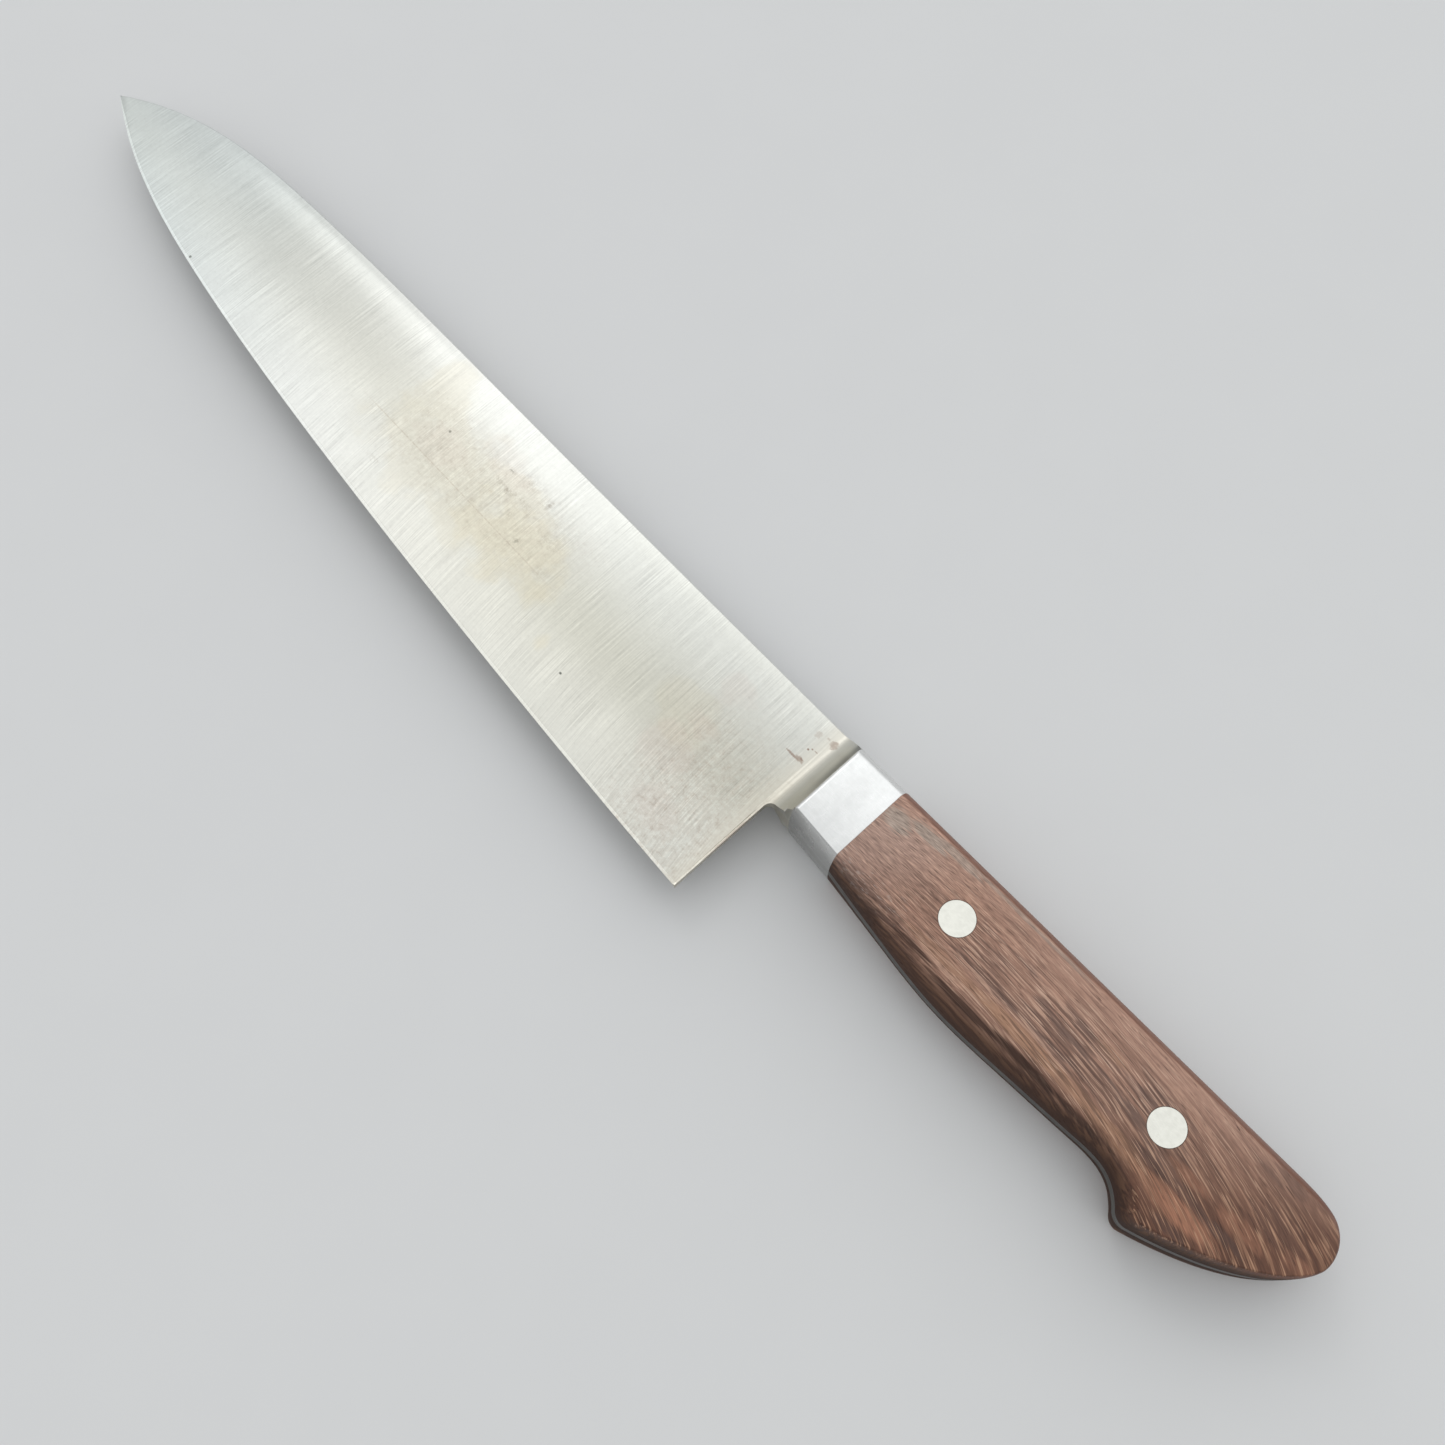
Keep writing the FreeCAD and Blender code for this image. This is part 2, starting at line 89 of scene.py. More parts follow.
# How the handle's corner is eased: its depth on the flat side, and where on the wall it starts, from 0 at the
# tang to 1 at the flat. Keys begin with the share of the way round butt or hook, or the place along.
SPINE_EASING = (3.6, 0.25)
BUTT_EASING = [(0, 3.6, 0.25), (0.12, 3.2, 0.3), (0.25, 2.5, 0.45), (0.37, 1.7, 0.65), (0.5, 0.8, 0.88),
               (0.7, 0.75, 0.9), (1, 1.0, 0.86)]
HOOK_EASING = [(0, 1.0, 0.86), (1, 2.7, 0.55)]
BELLY_EASING = [(0, 1.5, 0.38), (12.3, 1.7, 0.38), (30, 3.6, 0.36), (48, 4.8, 0.36), (66, 3.8, 0.38),
                (80, 3.0, 0.40), (85, 3.0, 0.42), (88, 3.2, 0.45), (91.4, 2.7, 0.55)]
BOLSTER_ROUNDING = 0.9
BOLSTER_BREAK = 0.12
STRAIGHT_REACH = 8

RIVETS = [(36.3, 0.0), (87.4, 0.0)]
RIVET_HOLE = 3.59
RIVET_DEPTH = 2.0
RIVET_SHANK = 2.5

# Steps of the meshes
SPINE_STEPS, BUTT_STEPS, HOOK_STEPS, BELLY_STEPS = 60, 150, 24, 170
EASING_STEPS = 26
CIRCLE_STEPS = 64
LINE_STEPS = 1200
# Heights of the blade's rows above the edge and below the spine, and how many of them make the bevel
BEVEL_ROWS = np.array([0, 0.06, 0.14, 0.24, 0.36, 0.48, 0.6, 0.8, 1.1, 1.6])
SPINE_ROWS = np.array([1.0, 0.6, 0.35, 0.24, 0.16, 0.1, 0.05, 0.02, 0])
BEVEL_FACES = 6
LOWER_ROWS, UPPER_ROWS = 34, 28
CHOIL_ROW = len(BEVEL_ROWS) + LOWER_ROWS - 2

# The view: from over the handle, on the edge's side, looking steeply down towards the tip
CAMERA_PLACE = (55.08, -76.68, 271.88)
CAMERA_LOOK = (-0.2725, 0.2518, -0.9286)
CAMERA_UP = (-0.6820, 0.6302, 0.3710)
LENS = 36.05
SENSOR_WIDTH = 36

# The light, in metres and watts: a round softbox over the blade and a dome that is brightest on one side
SOFTBOX_AIM = (-120, 4, 0)
SOFTBOX_DIRECTION = (-0.5025, 0.2487, 0.8277)
SOFTBOX_DISTANCE = 1.5
SOFTBOX_SIZE = 0.46
SOFTBOX_POWER = 0.85
DOME_BRIGHT_SIDE = (-0.30, 0.42, 0.86)
DOME_STRENGTH = (0.42, 1.26)
FLOOR_REACH = 12.0
FLOOR_DROP = 0.0002


def place(points):
    """Points (along, up, out) in millimetres, as row-frame metres."""
    return (np.asarray(points, float) + ORIGIN) * MILLIMETRE


def spline(points, count):
    """A clamped uniform cubic B-spline that its control points pull, sampled at count even steps."""
    controls = np.array(points, float)
    spans = len(controls) - 3
    knots = np.concatenate([[0] * 3, np.arange(spans + 1), [spans] * 3]).astype(float)
    steps = np.linspace(0, spans, count)
    steps[-1] -= 1e-9
    basis = [((knots[i] <= steps) & (steps < knots[i + 1])).astype(float) for i in range(len(knots) - 1)]
    for degree in range(1, 4):
        raised = []
        for i in range(len(basis) - 1):
            rise = knots[i + degree] - knots[i]
            fall = knots[i + degree + 1] - knots[i + 1]
            value = np.zeros(count)
            if rise:
                value += (steps - knots[i]) / rise * basis[i]
            if fall:
                value += (knots[i + degree + 1] - steps) / fall * basis[i + 1]
            raised.append(value)
        basis = raised
    return np.stack(basis, 1) @ controls


def arc(start, end, radius, count):
    """Points on an arc from start to end that bulges to the left of that direction."""
    first, last = np.array(start, float), np.array(end, float)
    chord = last - first
    half = np.linalg.norm(chord) / 2
    left = np.array([-chord[1], chord[0]]) / (2 * half)
    centre = (first + last) / 2 - left * math.sqrt(radius ** 2 - half ** 2)
    begin = math.atan2(*(first - centre)[::-1])
    turn = 2 * math.asin(half / radius)
    angles = begin - np.linspace(0, turn, count)
    return centre + radius * np.stack([np.cos(angles), np.sin(angles)], 1)


def bezier(p0, p1, p2, p3, t):
    """A cubic curve from p0 to p3, at share t of the way."""
    return p0 * (1 - t) ** 3 + 3 * p1 * t * (1 - t) ** 2 + 3 * p2 * t ** 2 * (1 - t) + p3 * t ** 3


class Shape:
    """Gathers points and faces of one mesh."""

    def __init__(self):
        self.points = []
        self.faces = []

    def add(self, points):
        """Adds points (along, up, out) and returns their numbers."""
        start = len(self.points)
        self.points.extend(map(tuple, points))
        return np.arange(start, start + len(points))

    def grid(self, rows, flip=False):
        """Faces between rows of point numbers, all of one length. Points that coincide give triangles."""
        for first, second in zip(rows[:-1], rows[1:]):
            for a, b, c, d in zip(first[:-1], first[1:], second[1:], second[:-1]):
                corners = []
                for corner in (a, b, c, d):
                    if int(corner) not in corners:
                        corners.append(int(corner))
                if len(corners) > 2:
                    self.faces.append(corners[::-1] if flip else corners)

    def cap(self, outline, holes, out, flip):
        """A flat cover over numbered outline points, with round holes. Returns each hole's rim."""
        rims = []
        turns = np.linspace(0, 2 * math.pi, CIRCLE_STEPS, endpoint=False)
        numbers = list(outline)
        edges = [(i, (i + 1) % len(outline)) for i in range(len(outline))]
        for centre, radius in holes:
            across = centre[0] + radius * np.cos(turns)
            upward = centre[1] + radius * np.sin(turns)
            rim = self.add(np.column_stack([across, upward, np.full(CIRCLE_STEPS, out)]))
            first = len(numbers)
            edges += [(first + i, first + (i + 1) % len(rim)) for i in range(len(rim))]
            numbers += list(rim)
            rims.append(rim)
        flat = [Vector(self.points[n][:2]) for n in numbers]
        spots, _, faces, sources, *_ = delaunay_2d_cdt(flat, edges, [], 0, 1e-6)
        for face in faces:
            middle = sum((spots[i] for i in face), Vector((0, 0))) / len(face)
            in_hole = any((middle - Vector(centre)).length < radius * 0.999 for centre, radius in holes)
            if in_hole or not inside(middle, flat[:len(outline)]):
                continue
            corners = [int(numbers[sources[i][0]]) for i in face]
            self.faces.append(corners[::-1] if flip else corners)
        return rims

    def piece(self, name, material, sharp=32.0):
        """Makes the object, with edges sharp where faces meet at more than that many degrees."""
        mesh = bpy.data.meshes.new(name)
        mesh.from_pydata([tuple(p) for p in place(self.points)], [], self.faces)
        mesh.shade_smooth()
        mesh.set_sharp_from_angle(angle=math.radians(sharp))
        mesh.materials.append(material)
        made = bpy.data.objects.new(name, mesh)
        bpy.context.scene.collection.objects.link(made)
        made.modifiers.new("flat faces stay flat", "WEIGHTED_NORMAL").keep_sharp = True
        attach(made, "root")
        return made


def inside(point, polygon):
    """True if a point is inside a polygon."""
    crossings = 0
    for a, b in zip(polygon, polygon[1:] + polygon[:1]):
        if (a.y > point.y) != (b.y > point.y):
            crossings += point.x < a.x + (point.y - a.y) / (b.y - a.y) * (b.x - a.x)
    return crossings % 2 == 1


# ---------------------------------------- handle's form

def ease_keys(keys, places):
    """Easing depth and start at some places, from keys of place, depth and start."""
    at, depth, late = zip(*keys)
    return np.stack([np.interp(places, at, depth), np.interp(places, at, late)], 1)


def handle_side():
    """The handle's outline from the bolster's rear face round the butt to the belly, with its easing.

    Returns points (along, up), and for each the depth and the start of the corner's easing.
    """
    level = np.full(SPINE_STEPS, SPINE_HEIGHT)
    spine = np.stack([np.linspace(BOLSTER_LENGTH, BUTT_POINTS[0][0], SPINE_STEPS), level], 1)
    butt = spline(BUTT_POINTS, BUTT_STEPS)
    hook = arc(BUTT_POINTS[-1], BELLY_POINTS[0], HOOK_RADIUS, HOOK_STEPS)
    belly = spline(BELLY_POINTS, BELLY_STEPS)
    spine_ease = np.tile(SPINE_EASING, (SPINE_STEPS, 1))
    butt_ease = ease_keys(BUTT_EASING, np.linspace(0, 1, BUTT_STEPS))
    hook_ease = ease_keys(HOOK_EASING, np.linspace(0, 1, HOOK_STEPS))
    belly_ease = ease_keys(BELLY_EASING, belly[:, 0])
    points = np.concatenate([spine, butt[1:], hook[1:], belly[1:]])
    easing = np.concatenate([spine_ease, butt_ease[1:], hook_ease[1:], belly_ease[1:]])
    return points, easing


def ease_profile(depth, late, steps):
    """Depth from the outline and height from the middle plane, along the eased corner."""
    wall = TANG_HALF + late * (HANDLE_HALF - TANG_HALF)
    inset = bezier(0, 0, depth * 0.52, depth, steps)
    height = bezier(TANG_HALF, wall, HANDLE_HALF, HANDLE_HALF, steps)
    return inset, height


def inward(points):
    """Unit normals that point into the handle. They turn straight down and up near the bolster's face."""
    ahead = np.gradient(points, axis=0)
    ahead /= np.linalg.norm(ahead, axis=1)[:, None]
    normals = np.stack([ahead[:, 1], -ahead[:, 0]], 1)
    for number, target in ((0, (0, -1)), (-1, (0, 1))):
        normals[number] = target
    window = np.clip(np.abs(points[:, 0] - BOLSTER_LENGTH) / STRAIGHT_REACH, 0, 1)[:, None]
    straight = np.where(points[:, 1:] > 0, -1.0, 1.0) * np.array([[0, 1]])
    normals = normals * window + straight * (1 - window)
    return normals / np.linalg.norm(normals, axis=1)[:, None]


def make_scale(side_name, material):
    """A wooden scale: its wall rises from the tang and rolls over into the flat side."""
    side = SIDES[side_name]
    outline, easing = handle_side()
    normals = inward(outline)
    shape = Shape()
    rows = []
    for t in np.linspace(0, 1, EASING_STEPS):
        inset, height = ease_profile(easing[:, 0], easing[:, 1], t)
        ring = outline + normals * inset[:, None]
        rows.append(shape.add(np.column_stack([ring, side * height])))
    shape.grid(rows, flip=side == LEFT)
    counterbores = [(centre, RIVET_HOLE) for centre in RIVETS]
    shanks = [(centre, RIVET_SHANK) for centre in RIVETS]
    rims = shape.cap(rows[-1], counterbores, side * HANDLE_HALF, flip=side == RIGHT)
    feet = shape.cap(rows[0], shanks, side * TANG_HALF, flip=side == LEFT)
    for rim, foot in zip(rims, feet):
        seat = side * (HANDLE_HALF - RIVET_DEPTH)
        wide = shape.add([(*shape.points[n][:2], seat) for n in rim])
        narrow = shape.add([(*shape.points[n][:2], seat) for n in foot])
        shape.grid([np.append(ring, ring[0]) for ring in (rim, wide, narrow, foot)], flip=side == RIGHT)
    # The front face, against the bolster
    front = [row[-1] for row in rows[::-1]] + [row[0] for row in rows]
    shape.faces.append([int(n) for n in (front[::-1] if side == LEFT else front)])
    made = shape.piece(f"scale_{side_name}_wood", material)
    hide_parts(f"scale_{side_name}")
    return made


def section(along, count=14):
    """The bolster's cross-section on one side, from the spine to the belly, as (up, out)."""
    share = along / BOLSTER_LENGTH
    drop = BOLSTER_DROP[0] + (BOLSTER_DROP[1] - BOLSTER_DROP[0]) * share
    steps = np.linspace(0, 1, count)
    inset, height = ease_profile(*SPINE_EASING, steps)
    top = np.stack([SPINE_HEIGHT - inset, height], 1)
    depth, late = ease_keys(BELLY_EASING, [along])[0]
    inset, height = ease_profile(depth, late, steps)
    bottom = np.stack([-drop + inset, height], 1)[::-1]
    return np.concatenate([top, bottom])


def make_bolster(side_name, material):
    """A steel cheek: the handle's section drawn along, its front edge rounded, its rear edge just broken."""
    side = SIDES[side_name]
    shape = Shape()
    angles = np.linspace(0, math.pi / 2, 10)
    front = BOLSTER_ROUNDING * (1 - np.cos(angles))
    middle = [2, 4, 6, 8, 10]
    rear = BOLSTER_LENGTH - np.array([BOLSTER_BREAK, BOLSTER_BREAK * 0.3, 0])
    stations = np.concatenate([front, middle, rear])
    front_reach = HANDLE_HALF - BOLSTER_ROUNDING + BOLSTER_ROUNDING * np.sin(angles)
    rear_reach = HANDLE_HALF - np.array([0, BOLSTER_BREAK / 3, BOLSTER_BREAK])
    reach = np.concatenate([front_reach, np.full(len(middle), HANDLE_HALF), rear_reach])
    rows = []
    for along, limit in zip(stations, reach):
        line = section(along)
        line[:, 1] = np.minimum(line[:, 1], limit)
        rows.append(shape.add([(along, up, side * out) for up, out in line]))
    shape.grid([np.append(row, row[0]) for row in rows], flip=side == RIGHT)
    for row, turned in ((rows[0], side == LEFT), (rows[-1], side == RIGHT)):
        face = [int(n) for n in row]
        shape.faces.append(face[::-1] if turned else face)
    made = shape.piece(f"bolster_{side_name}_cheek", material, 40.0)
    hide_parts(f"bolster_{side_name}")
    return made


# ---------------------------------------- blade's form

SPINE_LINE = spline(SPINE_POINTS, LINE_STEPS)
EDGE_LINE = spline(EDGE_POINTS, LINE_STEPS)


def spine_at(along):
    """Height of the spine."""
    return np.interp(along, SPINE_LINE[:, 0], SPINE_LINE[:, 1])


def edge_at(along):
    """Height of the cutting edge."""
    return np.interp(along, EDGE_LINE[:, 0], EDGE_LINE[:, 1])


def grind(along, up):
    """Half the blade's thickness: a slightly convex wedge, with the sharpened bevel along its edge."""
    top, bottom = spine_at(along), edge_at(along)
    spine_half = np.interp(along, *zip(*SPINE_HALVES))
    share = np.clip((up - bottom) / np.maximum(top - bottom, 0.05), 0, 1)
    crown = GRIND_CROWN * 4 * share * (1 - share)
    roll = np.interp(along, *zip(*ROLL_DEPTHS)) * np.clip(1 - (top - up) / ROLL_WIDTH, 0, 1) ** 2
    wedge = WEDGE_FOOT + (spine_half - WEDGE_FOOT) * share + crown - roll
    bevel = EDGE_HALF + BEVEL_SLOPE * np.clip(up - bottom, 0, None)
    ease = np.clip(1 - (top - up) / SPINE_EASE, 0, 1)
    return np.minimum(wedge, bevel) - SPINE_EASE * (1 - np.sqrt(1 - ease ** 2))


def neck_flare(along):
    """How far out the neck stands as it widens to meet the bolster."""
    t = np.linspace(0, 1, 200)
    line = bezier(NECK_START, NECK_START + 2.95, -0.6, 0.0, t)
    out = bezier(NECK_FOOT, NECK_FOOT, NECK_FOOT + 5.0, HANDLE_HALF - BOLSTER_ROUNDING, t)
    return np.interp(along, line, out)


def soft_max(a, b, blend):
    """The larger of two heights, rounded where they cross."""
    h = np.clip(blend - np.abs(a - b), 0, None) / blend
    return np.maximum(a, b) + h * h * blend / 4


def soft_min(a, b, blend):
    """The smaller of two heights, rounded where they cross."""
    return -soft_max(-a, -b, blend)


def blade_half(along, up):
    """Half the thickness of blade and neck."""
    flare = np.where(along > NECK_START, neck_flare(along), 0.0)
    half = soft_max(grind(along, up), flare, 0.5)
    rim = section(0.0, 40)
    shoulder = np.interp(up, rim[::-1, 0], rim[::-1, 1])
    limited = soft_min(half, shoulder, np.clip(-along * 0.15, 0.001, 0.4))
    return np.where(along > NECK_START, np.minimum(half, limited), grind(along, up))


def neck_underside(along):
    """Height of the choil's arc and then of the neck's lower edge."""
    turn = np.clip(HEEL[0] + CHOIL_RADIUS - along, 0, CHOIL_RADIUS)
    low = CHOIL_TOP - CHOIL_RADIUS + np.sqrt(CHOIL_RADIUS ** 2 - turn ** 2)
    neck_start = HEEL[0] + CHOIL_RADIUS
    share = np.clip((along - neck_start) / -neck_start, 0, 1)
    return low - (BOLSTER_DROP[0] + CHOIL_TOP) * share


def blade_heights(along):
    """Heights of the points of one column of the blade, close together at the bevel and at the spine.

    The row numbered CHOIL_ROW ends at the choil's lower corner, where the neck's rows begin.
    """
    bottom, top = edge_at(along), spine_at(along)
    height = top - bottom
    split = (CHOIL_TOP - CHOIL_RADIUS - HEEL[1]) / (SPINE_HEIGHT - HEEL[1]) * height
    low = np.minimum(BEVEL_ROWS, 0.2 * height * BEVEL_ROWS / BEVEL_ROWS[-1])
    high = height - np.minimum(SPINE_ROWS, 0.1 * height * SPINE_ROWS / SPINE_ROWS[0])
    lower = np.linspace(low[-1], split, LOWER_ROWS)[1:]
    upper = np.linspace(split, high[0], UPPER_ROWS)[1:-1]
    return bottom + np.concatenate([low, lower, upper, high])


def add_column(shape, side, along, ups):
    """One column of points on one side of blade or neck, from its lower to its upper edge."""
    alongs = np.full(len(ups), along)
    return shape.add(np.column_stack([alongs, ups, side * blade_half(alongs, ups)]))


def blade_columns():
    """Places along the blade of its columns, close together at the tip and at the heel."""
    near_tip = TIP[0] + np.array([0.05, 0.12, 0.25, 0.45])
    return np.concatenate([near_tip, np.linspace(TIP[0] + 0.8, -7.5, 300), np.linspace(-7.3, HEEL[0], 8)])


def neck_columns():
    """Places along the neck of its columns: round the choil, then to the bolster."""
    turn = np.linspace(math.pi, math.pi / 2, 12)[1:]
    choil = HEEL[0] + CHOIL_RADIUS * (1 + np.cos(turn))
    return np.concatenate([choil, np.linspace(choil[-1], 0, 40)[1:]])


def make_blade(material, bevel_material):
    """Blade and neck in one skin: two ground faces, the spine, the choil and the underside of the neck."""
    shape = Shape()
    bevel_faces, lower_rim, upper_rim, rear_rim = [], [], [], []
    heights = blade_heights(HEEL[0])[CHOIL_ROW:]
    shares = (heights - heights[0]) / (heights[-1] - heights[0])
    tip = shape.add([(*TIP, 0.0)])[0]
    for side in (LEFT, RIGHT):
        blade_rows = [np.full(len(blade_heights(0.0)), tip)]
        for along in blade_columns():
            blade_rows.append(add_column(shape, side, along, blade_heights(along)))
        neck_rows = [blade_rows[-1][CHOIL_ROW:]]
        for along in neck_columns():
            bottom, top = neck_underside(along), spine_at(along)
            neck_rows.append(add_column(shape, side, along, bottom + (top - bottom) * shares))
        first = len(shape.faces)
        shape.grid([row[:BEVEL_FACES + 1] for row in blade_rows], flip=side == LEFT)
        bevel_faces += range(first, len(shape.faces))
        shape.grid([row[BEVEL_FACES:] for row in blade_rows], flip=side == LEFT)
        shape.grid(neck_rows, flip=side == LEFT)
        upper_rim.append([row[-1] for row in blade_rows + neck_rows[1:]])
        heel = list(blade_rows[-1][CHOIL_ROW::-1])
        lower_rim.append([row[0] for row in neck_rows[:0:-1]] + heel + [row[0] for row in blade_rows[-2::-1]])
        rear_rim.append([int(n) for n in neck_rows[-1]])
    shape.grid(upper_rim)
    shape.grid(lower_rim)
    # The rear face, against the bolster and the tang
    shape.faces.append(rear_rim[1] + rear_rim[0][::-1])
    made = shape.piece("blade_ground", material, 40.0)
    made.data.materials.append(bevel_material)
    for number in bevel_faces:
        made.data.polygons[number].material_index = 1
    depth = made.data.attributes.new("below_spine", "FLOAT", "POINT")
    depth.data.foreach_set("value", [spine_at(along) - up for along, up, out in shape.points])
    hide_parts("blade")
    return made


def make_tang(material):
    """The tang: a flat plate with the handle's outline, seen as a thin line between the scales."""
    outline = handle_side()[0]
    front = np.array([(0.0, -BOLSTER_DROP[0]), (0.0, SPINE_HEIGHT)])
    loop = np.concatenate([outline, front])
    shape = Shape()
    rings = []
    for side in (RIGHT, LEFT):
        rings.append(shape.add(np.column_stack([loop, np.full(len(loop), side * TANG_HALF)])))
    shape.grid([np.append(ring, ring[0]) for ring in rings], flip=True)
    holes = [(centre, RIVET_SHANK) for centre in RIVETS]
    low = shape.cap(rings[0], holes, -TANG_HALF, flip=True)
    high = shape.cap(rings[1], holes, TANG_HALF, flip=False)
    for first, second in zip(low, high):
        shape.grid([np.append(ring, ring[0]) for ring in (first, second)], flip=True)
    made = shape.piece("tang_plate", material, 40.0)
    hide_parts("blade")
    return made


# ---------------------------------------- materials

class Nodes:
    """Short hand for building a material's node tree."""

    def __init__(self, name):
        self.material = bpy.data.materials.new(name)
        self.material.use_nodes = True
        self.tree = self.material.node_tree
        self.tree.nodes.clear()
        self.output = self.tree.nodes.new("ShaderNodeOutputMaterial")
        self.shader = self.tree.nodes.new("ShaderNodeBsdfPrincipled")
        self.tree.links.new(self.shader.outputs["BSDF"], self.output.inputs["Surface"])
        position = self.tree.nodes.new("ShaderNodeTexCoord").outputs["Object"]
        scaled = self.vector("MULTIPLY", position, (1 / MILLIMETRE,) * 3)
        self.place = self.vector("SUBTRACT", scaled, ORIGIN)
        self.along, self.up, self.out = self.split(self.place)
        self.left = self.math("GREATER_THAN", self.out, 0.0)

    def feed(self, socket, value):
        """Links another node's output to a socket, or sets the socket to a plain value."""
        if isinstance(value, bpy.types.NodeSocket):
            self.tree.links.new(value, socket)
        else:
            socket.default_value = value

    def math(self, operation, *values):
        node = self.tree.nodes.new("ShaderNodeMath")
        node.operation = operation
        for socket, value in zip(node.inputs, values):
            self.feed(socket, value)
        return node.outputs[0]

    def times(self, first, second):
        return self.math("MULTIPLY", first, second)

    def plus(self, first, second):
        return self.math("ADD", first, second)

    def minus(self, first, second):
        return self.math("SUBTRACT", first, second)

    def larger(self, first, second):
        return self.math("MAXIMUM", first, second)

    def magnitude(self, value):
        return self.math("ABSOLUTE", value)

    def vector(self, operation, *values):
        node = self.tree.nodes.new("ShaderNodeVectorMath")
        node.operation = operation
        for socket, value in zip(node.inputs, values):
            self.feed(socket, value)
        return node.outputs["Value" if operation == "LENGTH" else "Vector"]

    def split(self, vector):
        node = self.tree.nodes.new("ShaderNodeSeparateXYZ")
        self.feed(node.inputs[0], vector)
        return tuple(node.outputs)

    def join(self, x, y, z):
        node = self.tree.nodes.new("ShaderNodeCombineXYZ")
        for socket, value in zip(node.inputs, (x, y, z)):
            self.feed(socket, value)
        return node.outputs[0]

    def attribute(self, name):
        node = self.tree.nodes.new("ShaderNodeAttribute")
        node.attribute_name = name
        return node.outputs["Fac"]

    def noise(self, vector, scale=1.0, detail=2.0, roughness=0.5):
        node = self.tree.nodes.new("ShaderNodeTexNoise")
        self.feed(node.inputs["Vector"], vector)
        for name, value in (("Scale", scale), ("Detail", detail), ("Roughness", roughness)):
            self.feed(node.inputs[name], value)
        return node.outputs["Fac"]

    def range(self, value, low, high, to_low=0.0, to_high=1.0, smooth=True):
        """to_low where the value is low or beyond, to_high where it is high or beyond, and a ramp between."""
        node = self.tree.nodes.new("ShaderNodeMapRange")
        node.interpolation_type = "SMOOTHSTEP" if smooth else "LINEAR"
        for socket, number in zip(node.inputs, (value, low, high, to_low, to_high)):
            self.feed(socket, number)
        return node.outputs[0]

    def mix(self, share, first, second, blend="MIX"):
        node = self.tree.nodes.new("ShaderNodeMix")
        node.data_type = "RGBA"
        node.blend_type = blend
        colours = [socket for socket in node.inputs if socket.type == "RGBA"]
        self.feed(node.inputs[0], share)
        for socket, value in zip(colours, (first, second)):
            self.feed(socket, (*value, 1.0) if isinstance(value, tuple) else value)
        return next(socket for socket in node.outputs if socket.type == "RGBA")

    def shaded(self, colour, shade):
        """The colour with all its channels multiplied by one value."""
        return self.mix(1.0, colour, self.join(shade, shade, shade), "MULTIPLY")

    def bump(self, height, distance, strength):
        """A normal from heights of up to a distance in millimetres."""
        node = self.tree.nodes.new("ShaderNodeBump")
        self.feed(node.inputs["Height"], height)
        self.feed(node.inputs["Distance"], distance * MILLIMETRE)
        self.feed(node.inputs["Strength"], strength)
        return node.outputs[0]

    def finish(self, **values):
        """Sets the shader's named inputs and returns the material."""
        for name, value in values.items():
            socket = self.shader.inputs[name.replace("_", " ")]
            if isinstance(value, tuple) and len(value) == 3 and socket.type == "RGBA":
                value = (*value, 1.0)
            self.feed(socket, value)
        return self.material


def add_spot(n, spot, jitter):
    """How much of a spot shows at a place: an oval whose rim is made ragged by the jitter."""
    at_along, at_up, half_along, half_up, strength = spot
    across = n.math("DIVIDE", n.minus(n.along, at_along), half_along)
    upward = n.math("DIVIDE", n.minus(n.up, at_up), half_up)
    reach = n.plus(n.times(across, across), n.times(upward, upward))
    return n.times(n.range(n.plus(reach, jitter), 1.25, 0.25), strength)


def add_spots(n, spots, jitter):
    """How much of the strongest of some spots shows at a place."""
    total = 0.0
    for spot in spots:
        total = n.larger(total, add_spot(n, spot, jitter))
    return total


# Marks on the blade's left face: place along and up, half length and half height, strength
RUST = [(-9.6, 2.35, 2.4, 0.3, 0.6), (-8.3, 2.65, 1.1, 0.65, 0.5), (-7.9, 2.9, 0.5, 0.35, 0.75),
        (-8.5, 5.4, 0.28, 0.22, 0.8), (-7.9, 6, 0.28, 0.2, 0.8), (-6.9, 6.1, 0.5, 0.15, 0.5),
        (-5.5, 9.7, 1, 1.1, 0.45), (-9.3, 9.1, 0.8, 0.9, 0.22), (-7.2, 9.9, 0.5, 0.3, 0.3),
        (-5.9, -18, 0.35, 6.5, 0.35)]
PITS = [(-55.1, -20.1, 0.36, 0.32, 0.85), (-115.5, -0.4, 0.42, 0.35, 0.45), (-194, -14.7, 0.45, 0.35, 0.7),
        (-84.7, -7.2, 0.35, 0.6, 0.2), (-98.5, 3.2, 0.7, 0.2, 0.3)]
STAINS = [(-98.4, -0.4, 2, 0.7, 0.6), (-94.8, -0.7, 1.9, 0.8, 0.5), (-91, -0.2, 1.6, 0.8, 0.5),
          (-86.6, 3.3, 1.1, 1.5, 0.5), (-98.4, 3.2, 1.5, 0.6, 0.55), (-90.8, -4.2, 0.8, 0.6, 0.5),
          (-84.6, -7, 1.2, 1.2, 0.45), (-76, -8.5, 1.4, 1.4, 0.4), (-92.5, 4.5, 3, 2, 0.2),
          (-122, -17, 2.2, 0.8, 0.35), (-79, -2, 3.5, 1.6, 0.25)]
CLOUDS_WARM = [(-126, 4, 9, 8, 0.6), (-85, -9, 17, 9, 1), (-94, 1, 9, 5, 0.6),
               (-63, -18, 2, 2.6, 0.8), (-30, -7, 8, 6, 0.45), (-101, -7, 30, 12, 0.5)]
CLOUDS_PINK = [(-27, 3.5, 5, 4, 0.6), (-28, -16, 5.5, 6.5, 0.7), (-26, -7, 4, 3, 0.6),
               (-21, -25, 7, 5, 0.6), (-113, -4, 8, 4, 0.4), (-100, 4, 9, 4, 0.4)]


